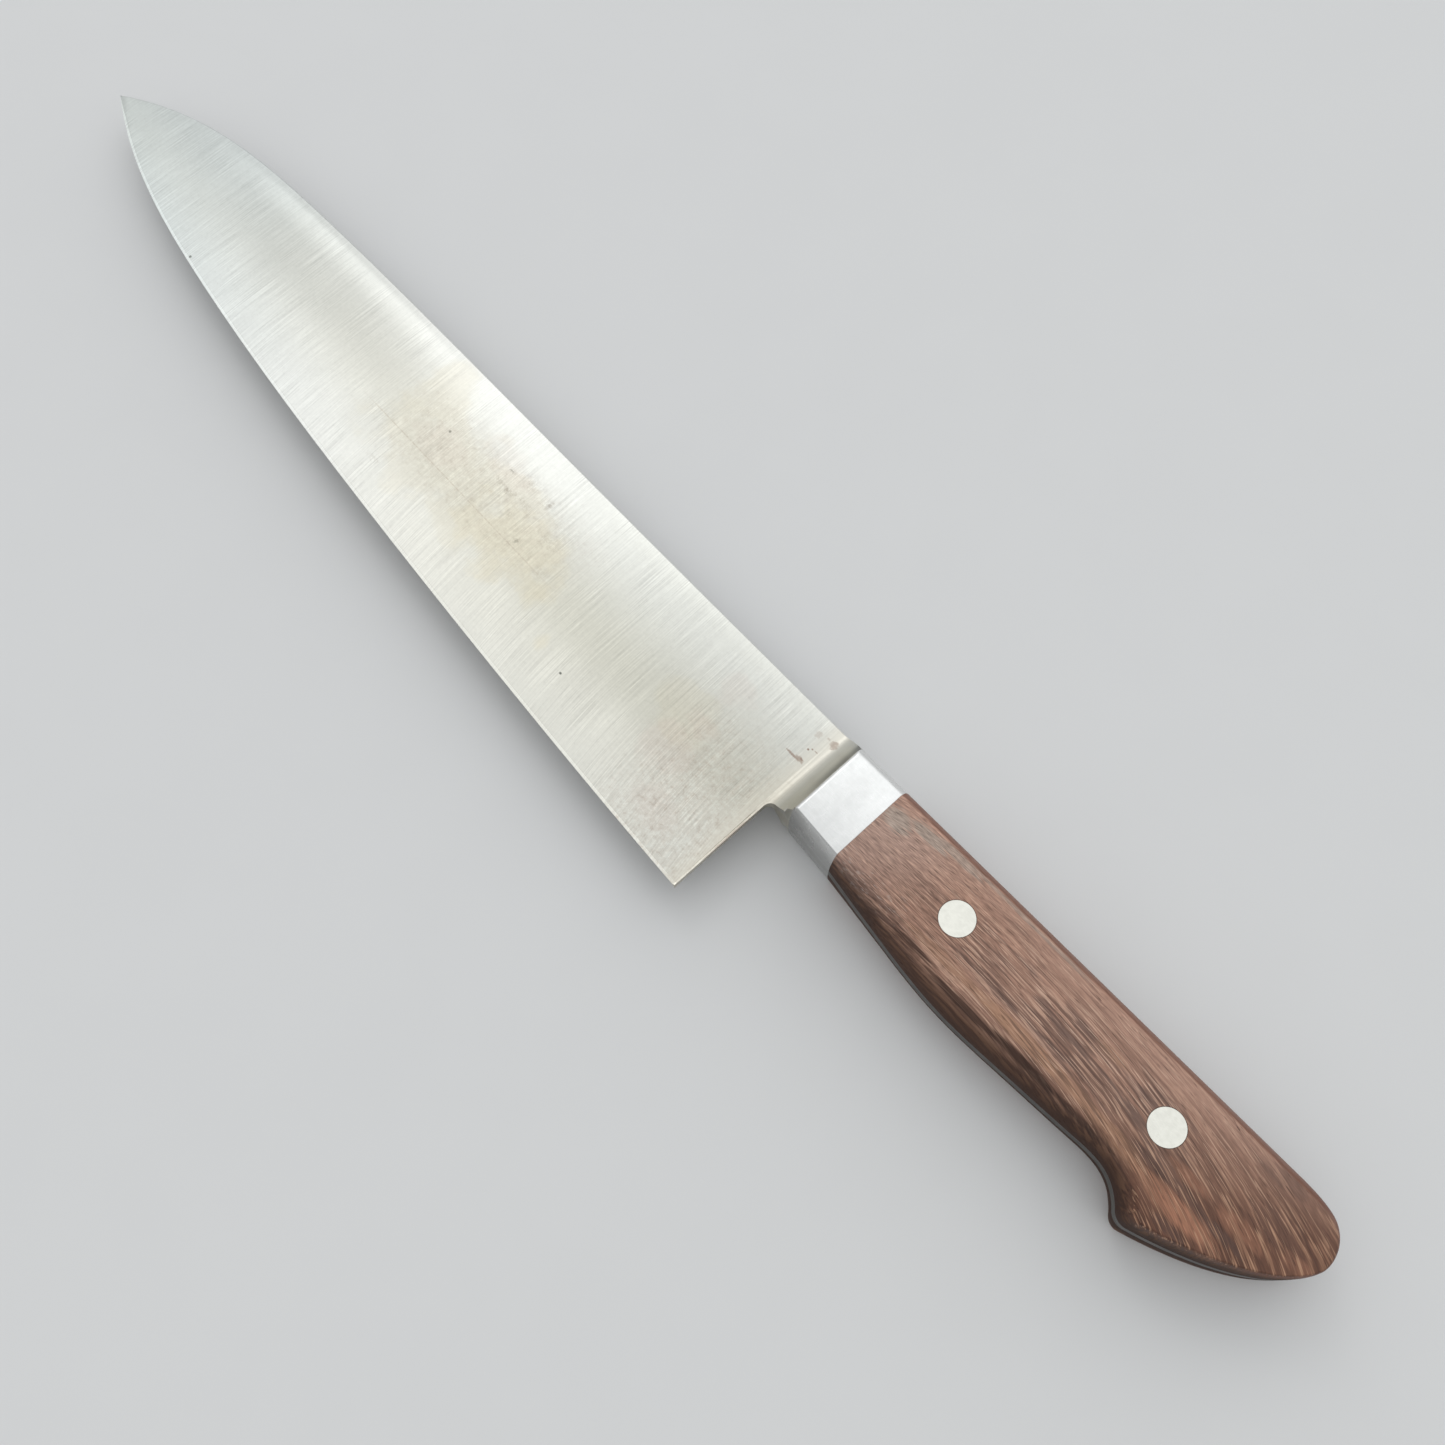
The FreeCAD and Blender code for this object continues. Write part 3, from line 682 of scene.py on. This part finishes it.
def steel_lines(n, side):
    """The grinding marks: lines across the blade, in three widths, that lean a little towards the edge."""
    lean = n.times(n.math("POWER", n.larger(n.minus(-10.0, n.up), 0.0), 2.0), 0.004)
    slanted = n.plus(n.along, n.minus(n.times(n.up, 0.03), lean))
    layers = []
    for across, length, detail in ((3.8, 0.07, 2.0), (1.9, 0.04, 3.0), (0.5, 0.025, 2.0)):
        spot = n.join(n.times(slanted, across), n.times(n.up, length), side)
        layers.append(n.range(n.noise(spot, detail=detail), 0.3, 0.7, -1.0, 1.0, smooth=False))
    return layers


def painted_spine_light(n):
    """Painted light on the upper part: shade below a highlight crest in front, a highlight along the spine
    behind.
    """
    below = n.attribute("below_spine")
    # Painted highlight along a crest below the spine; in front, painted shade below it
    crest = n.times(n.range(below, 1.0, 2.5), n.range(below, 8.5, 2.9))
    front = n.times(n.range(n.along, -212.0, -178.0), n.range(n.along, -112.0, -152.0))
    front = n.times(front, n.range(n.up, -9.0, 2.0))
    painted_dull_band = n.times(front, n.minus(1.0, crest))
    # Behind: a painted highlight along the spine, over painted shade lower down
    rear = n.times(n.range(n.along, -95.0, -62.0), n.range(n.up, -12.0, -2.0))
    rear_shade = n.plus(n.range(below, 3.6, 0.2, 0.0, 0.10), n.range(below, 2.5, 9.0, 0.0, -0.055))
    # A faint painted highlight on the crest near the tip
    tip = n.times(n.range(n.along, -222.0, -205.0), n.range(n.along, -170.0, -200.0))
    painted_tip_highlight = n.times(crest, tip)
    shade = n.plus(n.times(painted_dull_band, -0.155), n.times(rear, rear_shade))
    return n.plus(n.plus(shade, 1.0), n.times(painted_tip_highlight, 0.05))


def steel_ground(n, drift):
    """Bare steel: cooler towards the tip, warmer towards the heel, a painted darker reflection along the
    middle, clouded.
    """
    colour = n.mix(n.range(n.along, -240.0, -130.0), (0.55, 0.585, 0.575), (0.625, 0.625, 0.595))
    colour = n.mix(n.range(n.along, -115.0, -50.0), colour, (0.585, 0.585, 0.545))
    # Painted reflection: a darker band along the middle, from mid-height at the tip to low at the heel
    middle_height = n.range(n.along, -190.0, -50.0, 2.0, -11.0)
    from_middle = n.magnitude(n.minus(n.up, middle_height))
    painted_dull_band = n.times(n.range(from_middle, 20.0, 1.0), n.range(n.along, -225.0, -60.0, 0.3, 1.0))
    colour = n.mix(painted_dull_band, colour, (0.485, 0.475, 0.415))
    low = n.times(n.range(n.up, -10.0, -22.0), n.range(n.along, -150.0, -90.0))
    colour = n.mix(n.times(low, 0.6), colour, (0.575, 0.56, 0.50))
    # Painted shade over the upper part of the blade towards the tip
    shaded = n.times(n.range(n.along, -175.0, -215.0), n.range(n.up, -6.0, 8.0))
    colour = n.mix(n.times(shaded, 0.7), colour, (0.43, 0.45, 0.44))
    warm = add_spots(n, CLOUDS_WARM, drift)
    colour = n.mix(n.times(warm, 0.30), colour, (0.56, 0.49, 0.33))
    pink = add_spots(n, CLOUDS_PINK, drift)
    return n.mix(n.times(pink, 0.26), colour, (0.52, 0.42, 0.37))


def steel_stains(n, colour, spot, jitter):
    """Adds brown mottling over the heel and, fainter, over the middle, and stains on the left face."""
    heel = n.times(n.range(n.along, -40.0, -20.0), n.range(n.up, 5.0, -12.0, 0.15, 1.0))
    speck = n.noise(spot, scale=0.95, detail=6.0, roughness=0.75)
    veins = n.range(n.magnitude(n.minus(speck, 0.5)), 0.05, 0.01)
    blotch = n.larger(n.range(speck, 0.50, 0.64), n.times(veins, 0.5))
    patina = n.times(n.range(n.along, -142.0, -114.0), n.range(n.along, -60.0, -84.0))
    patina = n.times(patina, n.times(n.range(n.up, 8.5, 2.0), n.range(n.up, -19.0, -9.0)))
    mottle = n.times(n.larger(heel, n.times(patina, 0.5)), blotch)
    colour = n.mix(n.times(mottle, 0.42), colour, (0.35, 0.275, 0.22))
    stained = n.times(n.times(add_spots(n, STAINS, jitter), blotch), n.left)
    return n.mix(n.times(stained, 0.85), colour, (0.23, 0.195, 0.155)), mottle


def steel_tone(n, spot, lines, drift, dust):
    """How much brighter or darker each place is, from the grinding marks, slow drift and fine dust."""
    fine, middle, broad = lines
    patchy = n.range(n.noise(spot, scale=0.16, detail=2.0), 0.32, 0.68, 0.45, 1.35)
    tone = n.plus(n.times(fine, 0.10), n.times(middle, 0.052))
    tone = n.plus(n.times(tone, patchy), n.times(broad, 0.02))
    tone = n.plus(tone, n.times(drift, 0.02))
    return n.plus(tone, n.range(dust, 0.3, 0.7, 0.055, -0.055, smooth=False))


def steel_neck_painted_light(n, colour):
    """Painted light on the neck: a pale yellowish reflection, a grey reflection up the flare, a painted
    shadow in the corner.
    """
    # Painted reflections: pale yellowish on the neck, grey on the flare that rises to the bolster
    neck = n.range(n.magnitude(n.out), 1.3, 2.4)
    painted_cream_reflection = n.times(n.range(n.along, -11.0, -5.5), 0.55)
    colour = n.mix(painted_cream_reflection, colour, (0.61, 0.57, 0.485))
    colour = n.mix(n.times(neck, 0.6), colour, (0.60, 0.595, 0.55))
    # Painted shadow in the corner against the bolster, strongest towards the spine
    corner = n.times(n.range(n.magnitude(n.out), 3.4, 6.4), n.range(n.up, -7.0, 6.0, 0.1, 0.85))
    return n.mix(corner, colour, (0.17, 0.17, 0.155))


def thin_scratch(n, lines):
    """One long thin scratch along the left face, broken up by the grinding marks."""
    height = n.plus(n.up, n.times(n.along, 0.018))
    line = n.range(n.magnitude(n.plus(height, 10.27)), 0.22, 0.03)
    line = n.times(line, n.range(n.magnitude(n.plus(n.along, 104.0)), 36.0, 24.0))
    return n.times(line, n.times(n.left, n.range(lines[1], -0.6, 0.6, 0.2, 0.6)))


def blade_steel(name="blade_steel_satin", polish=0.0):
    """Satin steel, ground across the blade, with a warm patina, stains near the heel and rust by the neck."""
    n = Nodes(name)
    side = n.times(n.left, 11.0)
    spot = n.join(n.along, n.up, side)
    lines = steel_lines(n, side)
    fine, middle, broad = lines
    ragged = n.noise(n.place, scale=1.6, detail=4.0, roughness=0.7)
    jitter = n.range(ragged, 0.3, 0.7, -0.6, 0.6, smooth=False)
    drift = n.range(n.noise(spot, scale=0.11, detail=4.0), 0.3, 0.7, -0.9, 0.9, smooth=False)
    dust = n.noise(spot, scale=1.2, detail=6.0, roughness=0.8)

    colour, mottle = steel_stains(n, steel_ground(n, drift), spot, jitter)
    colour = n.mix(n.range(dust, 0.60, 0.76, 0.0, 0.22), colour, (0.33, 0.30, 0.25))
    shade = n.plus(1.0 + 0.35 * polish, steel_tone(n, spot, lines, drift, dust))
    # Painted highlights and shade on the upper part of the blade
    colour = n.shaded(colour, n.times(shade, painted_spine_light(n)))
    # Painted reflections and a painted shadow on the neck
    colour = steel_neck_painted_light(n, colour)
    rust = n.times(add_spots(n, RUST, jitter), n.left)
    colour = n.mix(rust, colour, (0.27, 0.165, 0.12))
    pits = n.times(add_spots(n, PITS, n.times(jitter, 0.8)), n.left)
    colour = n.mix(pits, colour, (0.10, 0.11, 0.09))
    scratch = thin_scratch(n, lines)
    colour = n.mix(scratch, colour, (0.38, 0.33, 0.27))

    wear = n.larger(rust, n.larger(pits, n.times(mottle, 0.4)))
    rough = n.plus(0.36 - 0.08 * polish, n.times(n.plus(middle, broad), 0.012))
    rough = n.plus(rough, n.times(wear, 0.3))
    metal = n.range(wear, 0.3, 1.0, 1.0, 0.25)
    relief = n.plus(n.times(fine, 0.35), n.times(middle, 0.65))
    relief = n.minus(relief, n.times(n.plus(pits, scratch), 2.0))
    return n.finish(Base_Color=colour, Metallic=metal, Roughness=rough, Normal=n.bump(relief, 0.004, 0.55))


def tang_steel():
    """The tang's rim: tarnished and kept dark as painted shade, darkest towards the belly; between the
    cheeks, shaded like them.
    """
    n = Nodes("tang_steel_filed")
    marks = n.noise(n.join(n.times(n.along, 0.25), n.times(n.up, 0.25), n.times(n.out, 6.0)), detail=3.0)
    # Tarnished steel, its dark tone partly painted shade
    tarnish = n.noise(n.place, scale=0.35, detail=4.0, roughness=0.6)
    colour = n.mix(n.range(tarnish, 0.35, 0.65), (0.075, 0.071, 0.065), (0.110, 0.104, 0.095))
    colour = n.mix(n.range(marks, 0.45, 0.65, 0.0, 0.3), colour, (0.25, 0.24, 0.225))
    painted_light_upper = n.mix(n.range(marks, 0.35, 0.65), (0.36, 0.35, 0.335), (0.46, 0.45, 0.43))
    # Painted light and shade: lighter towards the spine, darker towards the belly
    colour = n.mix(n.range(n.up, 1.0, 9.0), colour, painted_light_upper)
    # Between the cheeks: a lighter tone with painted shade, darker towards the belly, to follow the cheeks
    between_cheeks = n.range(n.along, BOLSTER_LENGTH + 0.1, BOLSTER_LENGTH - 0.1)
    bright = n.mix(n.range(n.up, -5.0, 8.0), (0.42, 0.42, 0.41), (0.70, 0.70, 0.69))
    colour = n.mix(between_cheeks, colour, bright)
    return n.finish(Base_Color=colour, Metallic=1.0, Roughness=n.range(marks, 0.3, 0.7, 0.5, 0.38),
                    Normal=n.bump(marks, 0.01, 0.4))


def bolster_steel():
    """Bright satin steel, faint grey mottling finer than the blade's finish, painted lighter towards the
    spine and shaded below.
    """
    n = Nodes("bolster_steel_satin")
    mottle = n.noise(n.place, scale=0.55, detail=5.0, roughness=0.62)
    fine = n.noise(n.join(n.times(n.along, 0.4), n.times(n.up, 6.0), n.times(n.out, 6.0)), detail=2.0)
    smear = n.noise(n.join(n.times(n.along, 0.25), n.times(n.up, 0.12), n.out), detail=3.0)
    shade = n.plus(n.range(mottle, 0.35, 0.68, 0.725, 0.69), n.range(fine, 0.3, 0.7, -0.02, 0.02))
    shade = n.plus(shade, n.range(smear, 0.3, 0.7, -0.025, 0.025))
    # Painted light and shade: lighter towards the spine, darker towards the belly
    shade = n.times(shade, n.range(n.up, -7.0, 8.0, 0.88, 1.10, smooth=False))
    # Painted shade on the cheek's underside
    under = n.times(n.range(n.magnitude(n.out), 8.6, 3.5), n.range(n.up, -1.0, -5.0))
    shade = n.times(shade, n.minus(1.0, n.times(under, 0.32)))
    colour = n.shaded((1.0, 1.0, 0.985), shade)
    speck = n.noise(n.place, scale=1.8, detail=5.0, roughness=0.7)
    colour = n.mix(n.range(speck, 0.64, 0.74, 0.0, 0.3), colour, (0.40, 0.39, 0.36))
    rough = n.range(mottle, 0.3, 0.7, 0.26, 0.33)
    return n.finish(Base_Color=colour, Metallic=1.0, Roughness=rough, Normal=n.bump(fine, 0.003, 0.4))


# Patches of the left scale's wood: place along and up, half length and half height, strength
WOOD_DARK = [(30, 0.6, 4, 1.2, 0.25), (21, -8.8, 11, 2.2, 0.75), (53, -4.2, 14, 1.4, 0.55),
             (64, -1.2, 7, 2.4, 0.5), (70, 1.8, 8, 1.3, 0.45), (82, 2, 3, 1.6, 0.7),
             (76, -3, 10, 2.2, 0.5), (89.5, -6.2, 5, 1.3, 0.75), (96.5, -6.4, 6.5, 1.2, 0.65),
             (104, -7, 6, 1.1, 0.75), (107, 8.5, 5, 1.6, 0.5), (99, -12.6, 4, 1.2, 0.6),
             (112, 1, 7, 3, 0.3)]
# The spots low along the belly's rounding are a painted highlight; the rest are light brown patches
WOOD_TAN_AND_PAINTED_HIGHLIGHT = [(42, -7.6, 12, 1.5, 0.55), (60, -7.2, 16, 1.5, 0.9), (76, -7.6, 12, 1.3, 0.7),
            (90, -8.9, 10, 1.2, 0.8), (97.5, -9.5, 9, 2.2, 1), (73, 2.6, 4, 1.1, 0.5),
            (107, -3.8, 5.5, 1.8, 0.5), (96, -3.6, 5, 1.2, 0.5), (118, -1.2, 4, 1.6, 0.35)]
# Grey patches, partly painted sheen by the bolster, and a painted highlight line along the spine's edge
WOOD_TAUPE_AND_PAINTED_SHEEN = [(15.5, 5.6, 3.6, 2.6, 0.9), (21.5, 7.6, 5.5, 1.5, 0.9), (28, 8.6, 7, 1, 0.8),
              (44, 9.35, 20, 0.5, 0.6)]
# A painted shade line where the flat turns into the belly's wall
WOOD_PAINTED_SHADE_LINE = [(34, -9.6, 5, 0.6, 0.6), (48, -10.6, 10, 0.7, 0.7), (62, -10.1, 10, 0.8, 0.8),
             (76, -9.9, 8, 0.5, 0.6)]
GRAIN_CREST = 42.0


def grain_height(n, side):
    """Height counted across the grain, which rises from the bolster to a crest and then falls to the hook."""
    behind = n.larger(n.minus(n.along, GRAIN_CREST), 0.0)
    fall = n.times(n.times(behind, behind), 0.00175)
    fall = n.times(fall, n.minus(1.0, n.times(n.up, 0.05)))
    ahead = n.larger(n.minus(GRAIN_CREST, n.along), 0.0)
    rise = n.times(n.math("POWER", ahead, 3.0), 0.00008)
    rise = n.times(rise, n.range(n.up, -6.0, 4.0))
    wander = n.times(n.noise(n.join(n.times(n.along, 0.035), n.times(n.up, 0.06), side)), 1.2)
    return n.plus(n.plus(n.up, fall), n.plus(rise, wander))


def wood_ground(n, bands, painted_front_sheen):
    """The wood between its streaks: dark towards the butt, paler and pinker towards the front and spine as
    painted sheen.
    """
    painted_sheen_colour = n.mix(n.range(bands, 0.34, 0.66), (0.275, 0.157, 0.114), (0.36, 0.207, 0.150))
    # Paler and mauve by the bolster: the wood's own tone, lifted by the painted sheen
    paler_near_bolster = n.range(n.minus(n.along, n.times(n.up, 0.6)), 34.0, 14.0)
    painted_sheen_colour = n.mix(paler_near_bolster, painted_sheen_colour, (0.40, 0.265, 0.213))
    # Lighter towards the spine: painted sheen
    painted_sheen_colour = n.mix(n.range(n.up, 4.5, 8.5, 0.0, 0.8), painted_sheen_colour, (0.385, 0.23, 0.172))
    # The wood's own dark tone, where no sheen is painted
    colour_without_sheen = n.mix(n.range(bands, 0.34, 0.66), (0.105, 0.048, 0.031), (0.145, 0.068, 0.044))
    return n.mix(painted_front_sheen, colour_without_sheen, painted_sheen_colour)


def wood_patches(n, colour, jitter, smoke, taupe_and_sheen):
    """Adds larger dark, smoky, light brown and grey patches, partly a painted highlight along the belly and
    painted sheen by the spine.
    """
    dark = n.times(add_spots(n, WOOD_DARK, jitter), n.left)
    colour = n.mix(n.times(dark, 0.7), colour, (0.098, 0.060, 0.050))
    smoky = n.times(n.range(n.along, 38.0, 54.0), n.range(n.along, 104.0, 88.0))
    smoky = n.times(smoky, n.times(n.range(n.up, -7.0, -4.5), n.range(n.up, 6.5, 2.0)))
    smoky = n.times(smoky, n.range(smoke, 0.48, 0.62))
    colour = n.mix(n.times(smoky, 0.55), colour, (0.135, 0.088, 0.074))
    # Light brown patches, and along the belly's rounding a painted highlight, redder towards the hook
    tan_and_highlight = n.times(add_spots(n, WOOD_TAN_AND_PAINTED_HIGHLIGHT, jitter), n.left)
    tan_and_highlight_colour = n.mix(n.range(n.along, 82.0, 96.0), (0.40, 0.225, 0.135), (0.44, 0.205, 0.125))
    colour = n.mix(n.times(tan_and_highlight, 0.65), colour, tan_and_highlight_colour)
    # Grey patches by the bolster and the spine, partly painted sheen
    return n.mix(n.times(taupe_and_sheen, 0.75), colour, (0.345, 0.295, 0.25))


def wood_streaks(n, colour, streaks, threads, painted_front_sheen, lively):
    """Adds dark gaps and pale streaks and threads along the grain, lighter where the painted sheen is."""
    gap = n.times(n.range(streaks, 0.47, 0.38), lively)
    gap = n.times(gap, n.range(n.along, 82.0, 108.0, 0.58, 0.20))
    colour = n.mix(gap, colour, n.mix(painted_front_sheen, (0.040, 0.020, 0.015), (0.105, 0.058, 0.045)))
    light = n.times(n.range(streaks, 0.57, 0.65), lively)
    pale = n.mix(painted_front_sheen, (0.34, 0.185, 0.115), (0.56, 0.36, 0.265))
    colour = n.mix(n.times(light, 0.5), colour, pale)
    thread = n.times(n.range(threads, 0.59, 0.655), lively)
    paler = n.mix(painted_front_sheen, (0.46, 0.27, 0.17), (0.66, 0.45, 0.34))
    return n.mix(n.times(thread, 0.6), colour, paler)


def wood_edges_and_painted_shade(n, colour, wall, streaks, jitter):
    """Darkens the spine's rounding, paints shade on the belly's wall with a shade line above it, darkens
    rivet rims, reddens the butt's rim.
    """
    rim = n.times(n.range(n.magnitude(n.out), 8.95, 8.2), n.range(n.along, 108.0, 118.0))
    colour = n.mix(n.times(rim, 0.7), colour, (0.15, 0.045, 0.022))
    spine = n.range(n.up, 9.5, 10.2)
    colour = n.mix(n.times(spine, 0.72), colour, (0.125, 0.040, 0.020))
    # Painted shade on the belly's wall, darkest at its foot by the tang
    brown = n.mix(n.range(streaks, 0.40, 0.60), (0.040, 0.017, 0.010), (0.115, 0.060, 0.036))
    foot = n.range(n.magnitude(n.out), 6.2, 2.6)
    colour = n.mix(n.times(wall, 0.88), colour, n.mix(foot, brown, (0.030, 0.012, 0.007)))
    # A painted shade line where the flat turns into the wall
    painted_shade_line = n.times(add_spots(n, WOOD_PAINTED_SHADE_LINE, n.times(jitter, 0.4)), n.left)
    colour = n.mix(painted_shade_line, colour, (0.030, 0.014, 0.010))
    for centre in RIVETS:
        offset = n.join(n.minus(n.along, centre[0]), n.minus(n.up, centre[1]), 0.0)
        ring = n.range(n.vector("LENGTH", offset), RIVET_HOLE + 0.2, RIVET_HOLE + 0.02)
        ring = n.times(ring, n.range(jitter, -0.6, 0.6, 0.25, 0.8))
        colour = n.mix(ring, colour, (0.06, 0.03, 0.022))
    return colour


def rosewood():
    """Dark rosewood: pale streaks along the grain, darker bands, open pores, painted sheen in front, painted
    shade on the belly's wall.
    """
    n = Nodes("rosewood_oiled")
    side = n.times(n.left, 17.0)
    across = grain_height(n, side)
    depth = n.plus(side, n.times(n.out, 0.3))

    def grain(length, width, deep, detail, shift, roughness=0.5):
        """Noise drawn out along the grain. Each shift gives another pattern."""
        spot = n.join(n.times(n.along, length), n.times(across, width), n.plus(n.times(depth, deep), shift))
        return n.noise(spot, detail=detail, roughness=roughness)

    bands = grain(0.016, 0.34, 0.4, 3.0, 0.0)
    streaks = grain(0.10, 2.6, 2.0, 1.5, 3.0)
    threads = grain(0.13, 4.4, 3.0, 1.5, 9.0)
    smoke = grain(0.10, 0.62, 0.5, 2.0, 55.0)
    hairs = grain(0.5, 7.0, 7.0, 1.0, 21.0)
    pores = grain(0.33, 4.6, 4.6, 1.0, 31.0)
    scuffs = grain(0.5, 2.2, 2.0, 3.0, 47.0, 0.7)
    jitter = n.range(streaks, 0.3, 0.7, -0.7, 0.7, smooth=False)

    # Painted sheen: lighter towards the front and the spine, fading towards the butt and less on the belly
    painted_front_sheen = n.range(n.minus(n.along, n.times(n.up, 1.7)), 119.0, 70.0)
    painted_front_sheen = n.times(painted_front_sheen, n.range(n.up, -7.0, 5.0, 0.80, 1.0))
    # Grey patches, partly painted sheen
    taupe_and_sheen = n.times(add_spots(n, WOOD_TAUPE_AND_PAINTED_SHEEN, n.times(jitter, 0.5)), n.left)
    # Painted shade on the belly's wall, below the flat's edge
    wall = n.times(n.range(n.magnitude(n.out), 8.9, 5.2), n.range(n.up, 4.0, -3.0))
    # Streaks fade where the wood is plainer: near the bolster and the spine, on the wall, in the grey patches
    lively = n.times(n.range(n.along, 14.0, 46.0, 0.4, 1.0), n.range(n.up, 6.5, 1.5, 0.6, 1.0))
    lively = n.times(lively, n.minus(1.0, n.times(wall, 0.8)))
    lively = n.times(lively, n.minus(1.0, n.times(taupe_and_sheen, 0.7)))

    colour = wood_patches(n, wood_ground(n, bands, painted_front_sheen), jitter, smoke, taupe_and_sheen)
    colour = wood_streaks(n, colour, streaks, threads, painted_front_sheen, lively)
    contrast = n.range(n.along, 20.0, 60.0, 0.5, 0.2)
    hair = n.times(n.range(hairs, 0.25, 0.75, -1.0, 1.0, smooth=False), contrast)
    colour = n.shaded(colour, n.plus(1.0, hair))
    pore = n.range(pores, 0.67, 0.75)
    colour = n.mix(n.times(pore, 0.55), colour, (0.045, 0.025, 0.020))
    # Pale scuffs on the belly's rounding by the bolster
    scuffed = n.times(n.range(n.along, 36.0, 20.0), n.range(n.up, -2.5, -6.0))
    scuff = n.times(n.range(scuffs, 0.56, 0.66), scuffed)
    colour = n.mix(n.times(scuff, 0.5), colour, (0.42, 0.34, 0.30))
    colour = wood_edges_and_painted_shade(n, colour, wall, streaks, jitter)

    rough = n.plus(n.range(streaks, 0.3, 0.7, 0.40, 0.52), n.times(pore, 0.2))
    rough = n.plus(rough, n.times(wall, 0.25))
    height = n.minus(n.times(streaks, 0.8), n.times(pore, 0.9))
    height = n.plus(height, n.times(hairs, 0.3))
    normal = n.bump(height, 0.035, n.minus(0.5, n.times(wall, 0.45)))
    return n.finish(Base_Color=colour, Roughness=rough, Specular_IOR_Level=0.2, Normal=normal)


def rivet_metal():
    """Nickel silver, flush with the wood and rubbed matte with it."""
    n = Nodes("rivet_nickel_silver")
    mottle = n.noise(n.place, scale=0.8, detail=5.0, roughness=0.65)
    fine = n.noise(n.vector("MULTIPLY", n.place, (0.9, 7.0, 1.0)), detail=2.0)
    shade = n.plus(n.range(mottle, 0.3, 0.7, 0.72, 0.765), n.range(fine, 0.3, 0.7, -0.02, 0.02))
    colour = n.shaded((1.0, 0.985, 0.90), shade)
    speck = n.noise(n.place, scale=2.6, detail=4.0, roughness=0.7)
    colour = n.mix(n.range(speck, 0.66, 0.76, 0.0, 0.3), colour, (0.45, 0.43, 0.36))
    return n.finish(Base_Color=colour, Metallic=1.0, Roughness=n.range(mottle, 0.3, 0.7, 0.48, 0.40),
                    Normal=n.bump(fine, 0.004, 0.4))


def pale_floor():
    """Plain pale floor paint."""
    n = Nodes("floor_pale")
    shade = n.range(n.noise(n.place, scale=0.05, detail=3.0), 0.3, 0.7, 0.640, 0.645)
    return n.finish(Base_Color=n.join(shade, shade, shade), Roughness=0.9)


# ---------------------------------------- stage

def make_floor():
    """One large plane just under the knife."""
    mesh = bpy.data.meshes.new("floor")
    corners = [(x * FLOOR_REACH, y * FLOOR_REACH, 0) for x, y in ((-1, -1), (1, -1), (1, 1), (-1, 1))]
    mesh.from_pydata(corners, [], [(0, 1, 2, 3)])
    mesh.materials.append(pale_floor())
    floor = bpy.data.objects.new("floor", mesh)
    floor.location.z = -FLOOR_DROP
    bpy.context.scene.collection.objects.link(floor)


def make_softbox():
    """A round softbox on the side of the tip and the spine, aimed at the blade."""
    data = bpy.data.lights.new("softbox", "AREA")
    data.shape = "DISK"
    data.size = SOFTBOX_SIZE
    data.energy = SOFTBOX_POWER
    aim = place(SOFTBOX_AIM)
    spot = aim + SOFTBOX_DISTANCE * np.array(SOFTBOX_DIRECTION)
    light = bpy.data.objects.new("softbox", data)
    light.location = spot
    light.rotation_euler = (Vector(aim) - Vector(spot)).to_track_quat("-Z", "Y").to_euler()
    bpy.context.scene.collection.objects.link(light)


def make_sky():
    """A plain studio dome, brighter overhead and towards the spine's side of the knife than low down."""
    world = bpy.data.worlds.new("dome")
    world.use_nodes = True
    nodes, links = world.node_tree.nodes, world.node_tree.links
    background = nodes["Background"]
    direction = nodes.new("ShaderNodeTexCoord").outputs["Generated"]
    towards = nodes.new("ShaderNodeVectorMath")
    towards.operation = "DOT_PRODUCT"
    links.new(direction, towards.inputs[0])
    towards.inputs[1].default_value = Vector(DOME_BRIGHT_SIDE).normalized()
    ramp = nodes.new("ShaderNodeMapRange")
    links.new(towards.outputs["Value"], ramp.inputs[0])
    for socket, number in zip(ramp.inputs[1:], (-0.2, 1.0, *DOME_STRENGTH)):
        socket.default_value = number
    links.new(ramp.outputs[0], background.inputs["Strength"])
    background.inputs["Color"].default_value = (0.97, 0.99, 1.0, 1)
    bpy.context.scene.world = world


def make_camera():
    """The camera, turned so that its up direction is square to where it looks."""
    look = Vector(CAMERA_LOOK).normalized()
    right = look.cross(Vector(CAMERA_UP)).normalized()
    up = right.cross(look)
    data = bpy.data.cameras.new("camera")
    data.sensor_width = SENSOR_WIDTH
    data.lens = LENS
    data.clip_start = 0.01
    camera = bpy.data.objects.new("camera", data)
    turn = Matrix((right, up, -look)).transposed().to_4x4()
    camera.matrix_world = Matrix.Translation(place(CAMERA_PLACE)) @ turn
    bpy.context.scene.collection.objects.link(camera)
    bpy.context.scene.camera = camera


def main():
    """Makes the pieces, dresses the rivets that the CAD gives, and sets the stage."""
    make_camera()
    steel = blade_steel()
    bevel = blade_steel("blade_bevel_honed", polish=1.0)
    cheek, wood, nickel = bolster_steel(), rosewood(), rivet_metal()
    make_blade(steel, bevel)
    make_tang(tang_steel())
    for side_name in SIDES:
        make_bolster(side_name, cheek)
        make_scale(side_name, wood)
    for name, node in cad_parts.items():
        if "rivet" in name:
            node.data.materials.clear()
            node.data.materials.append(nickel)
    make_floor()
    make_sky()
    make_softbox()
    bpy.context.scene.view_settings.view_transform = "Standard"


main()
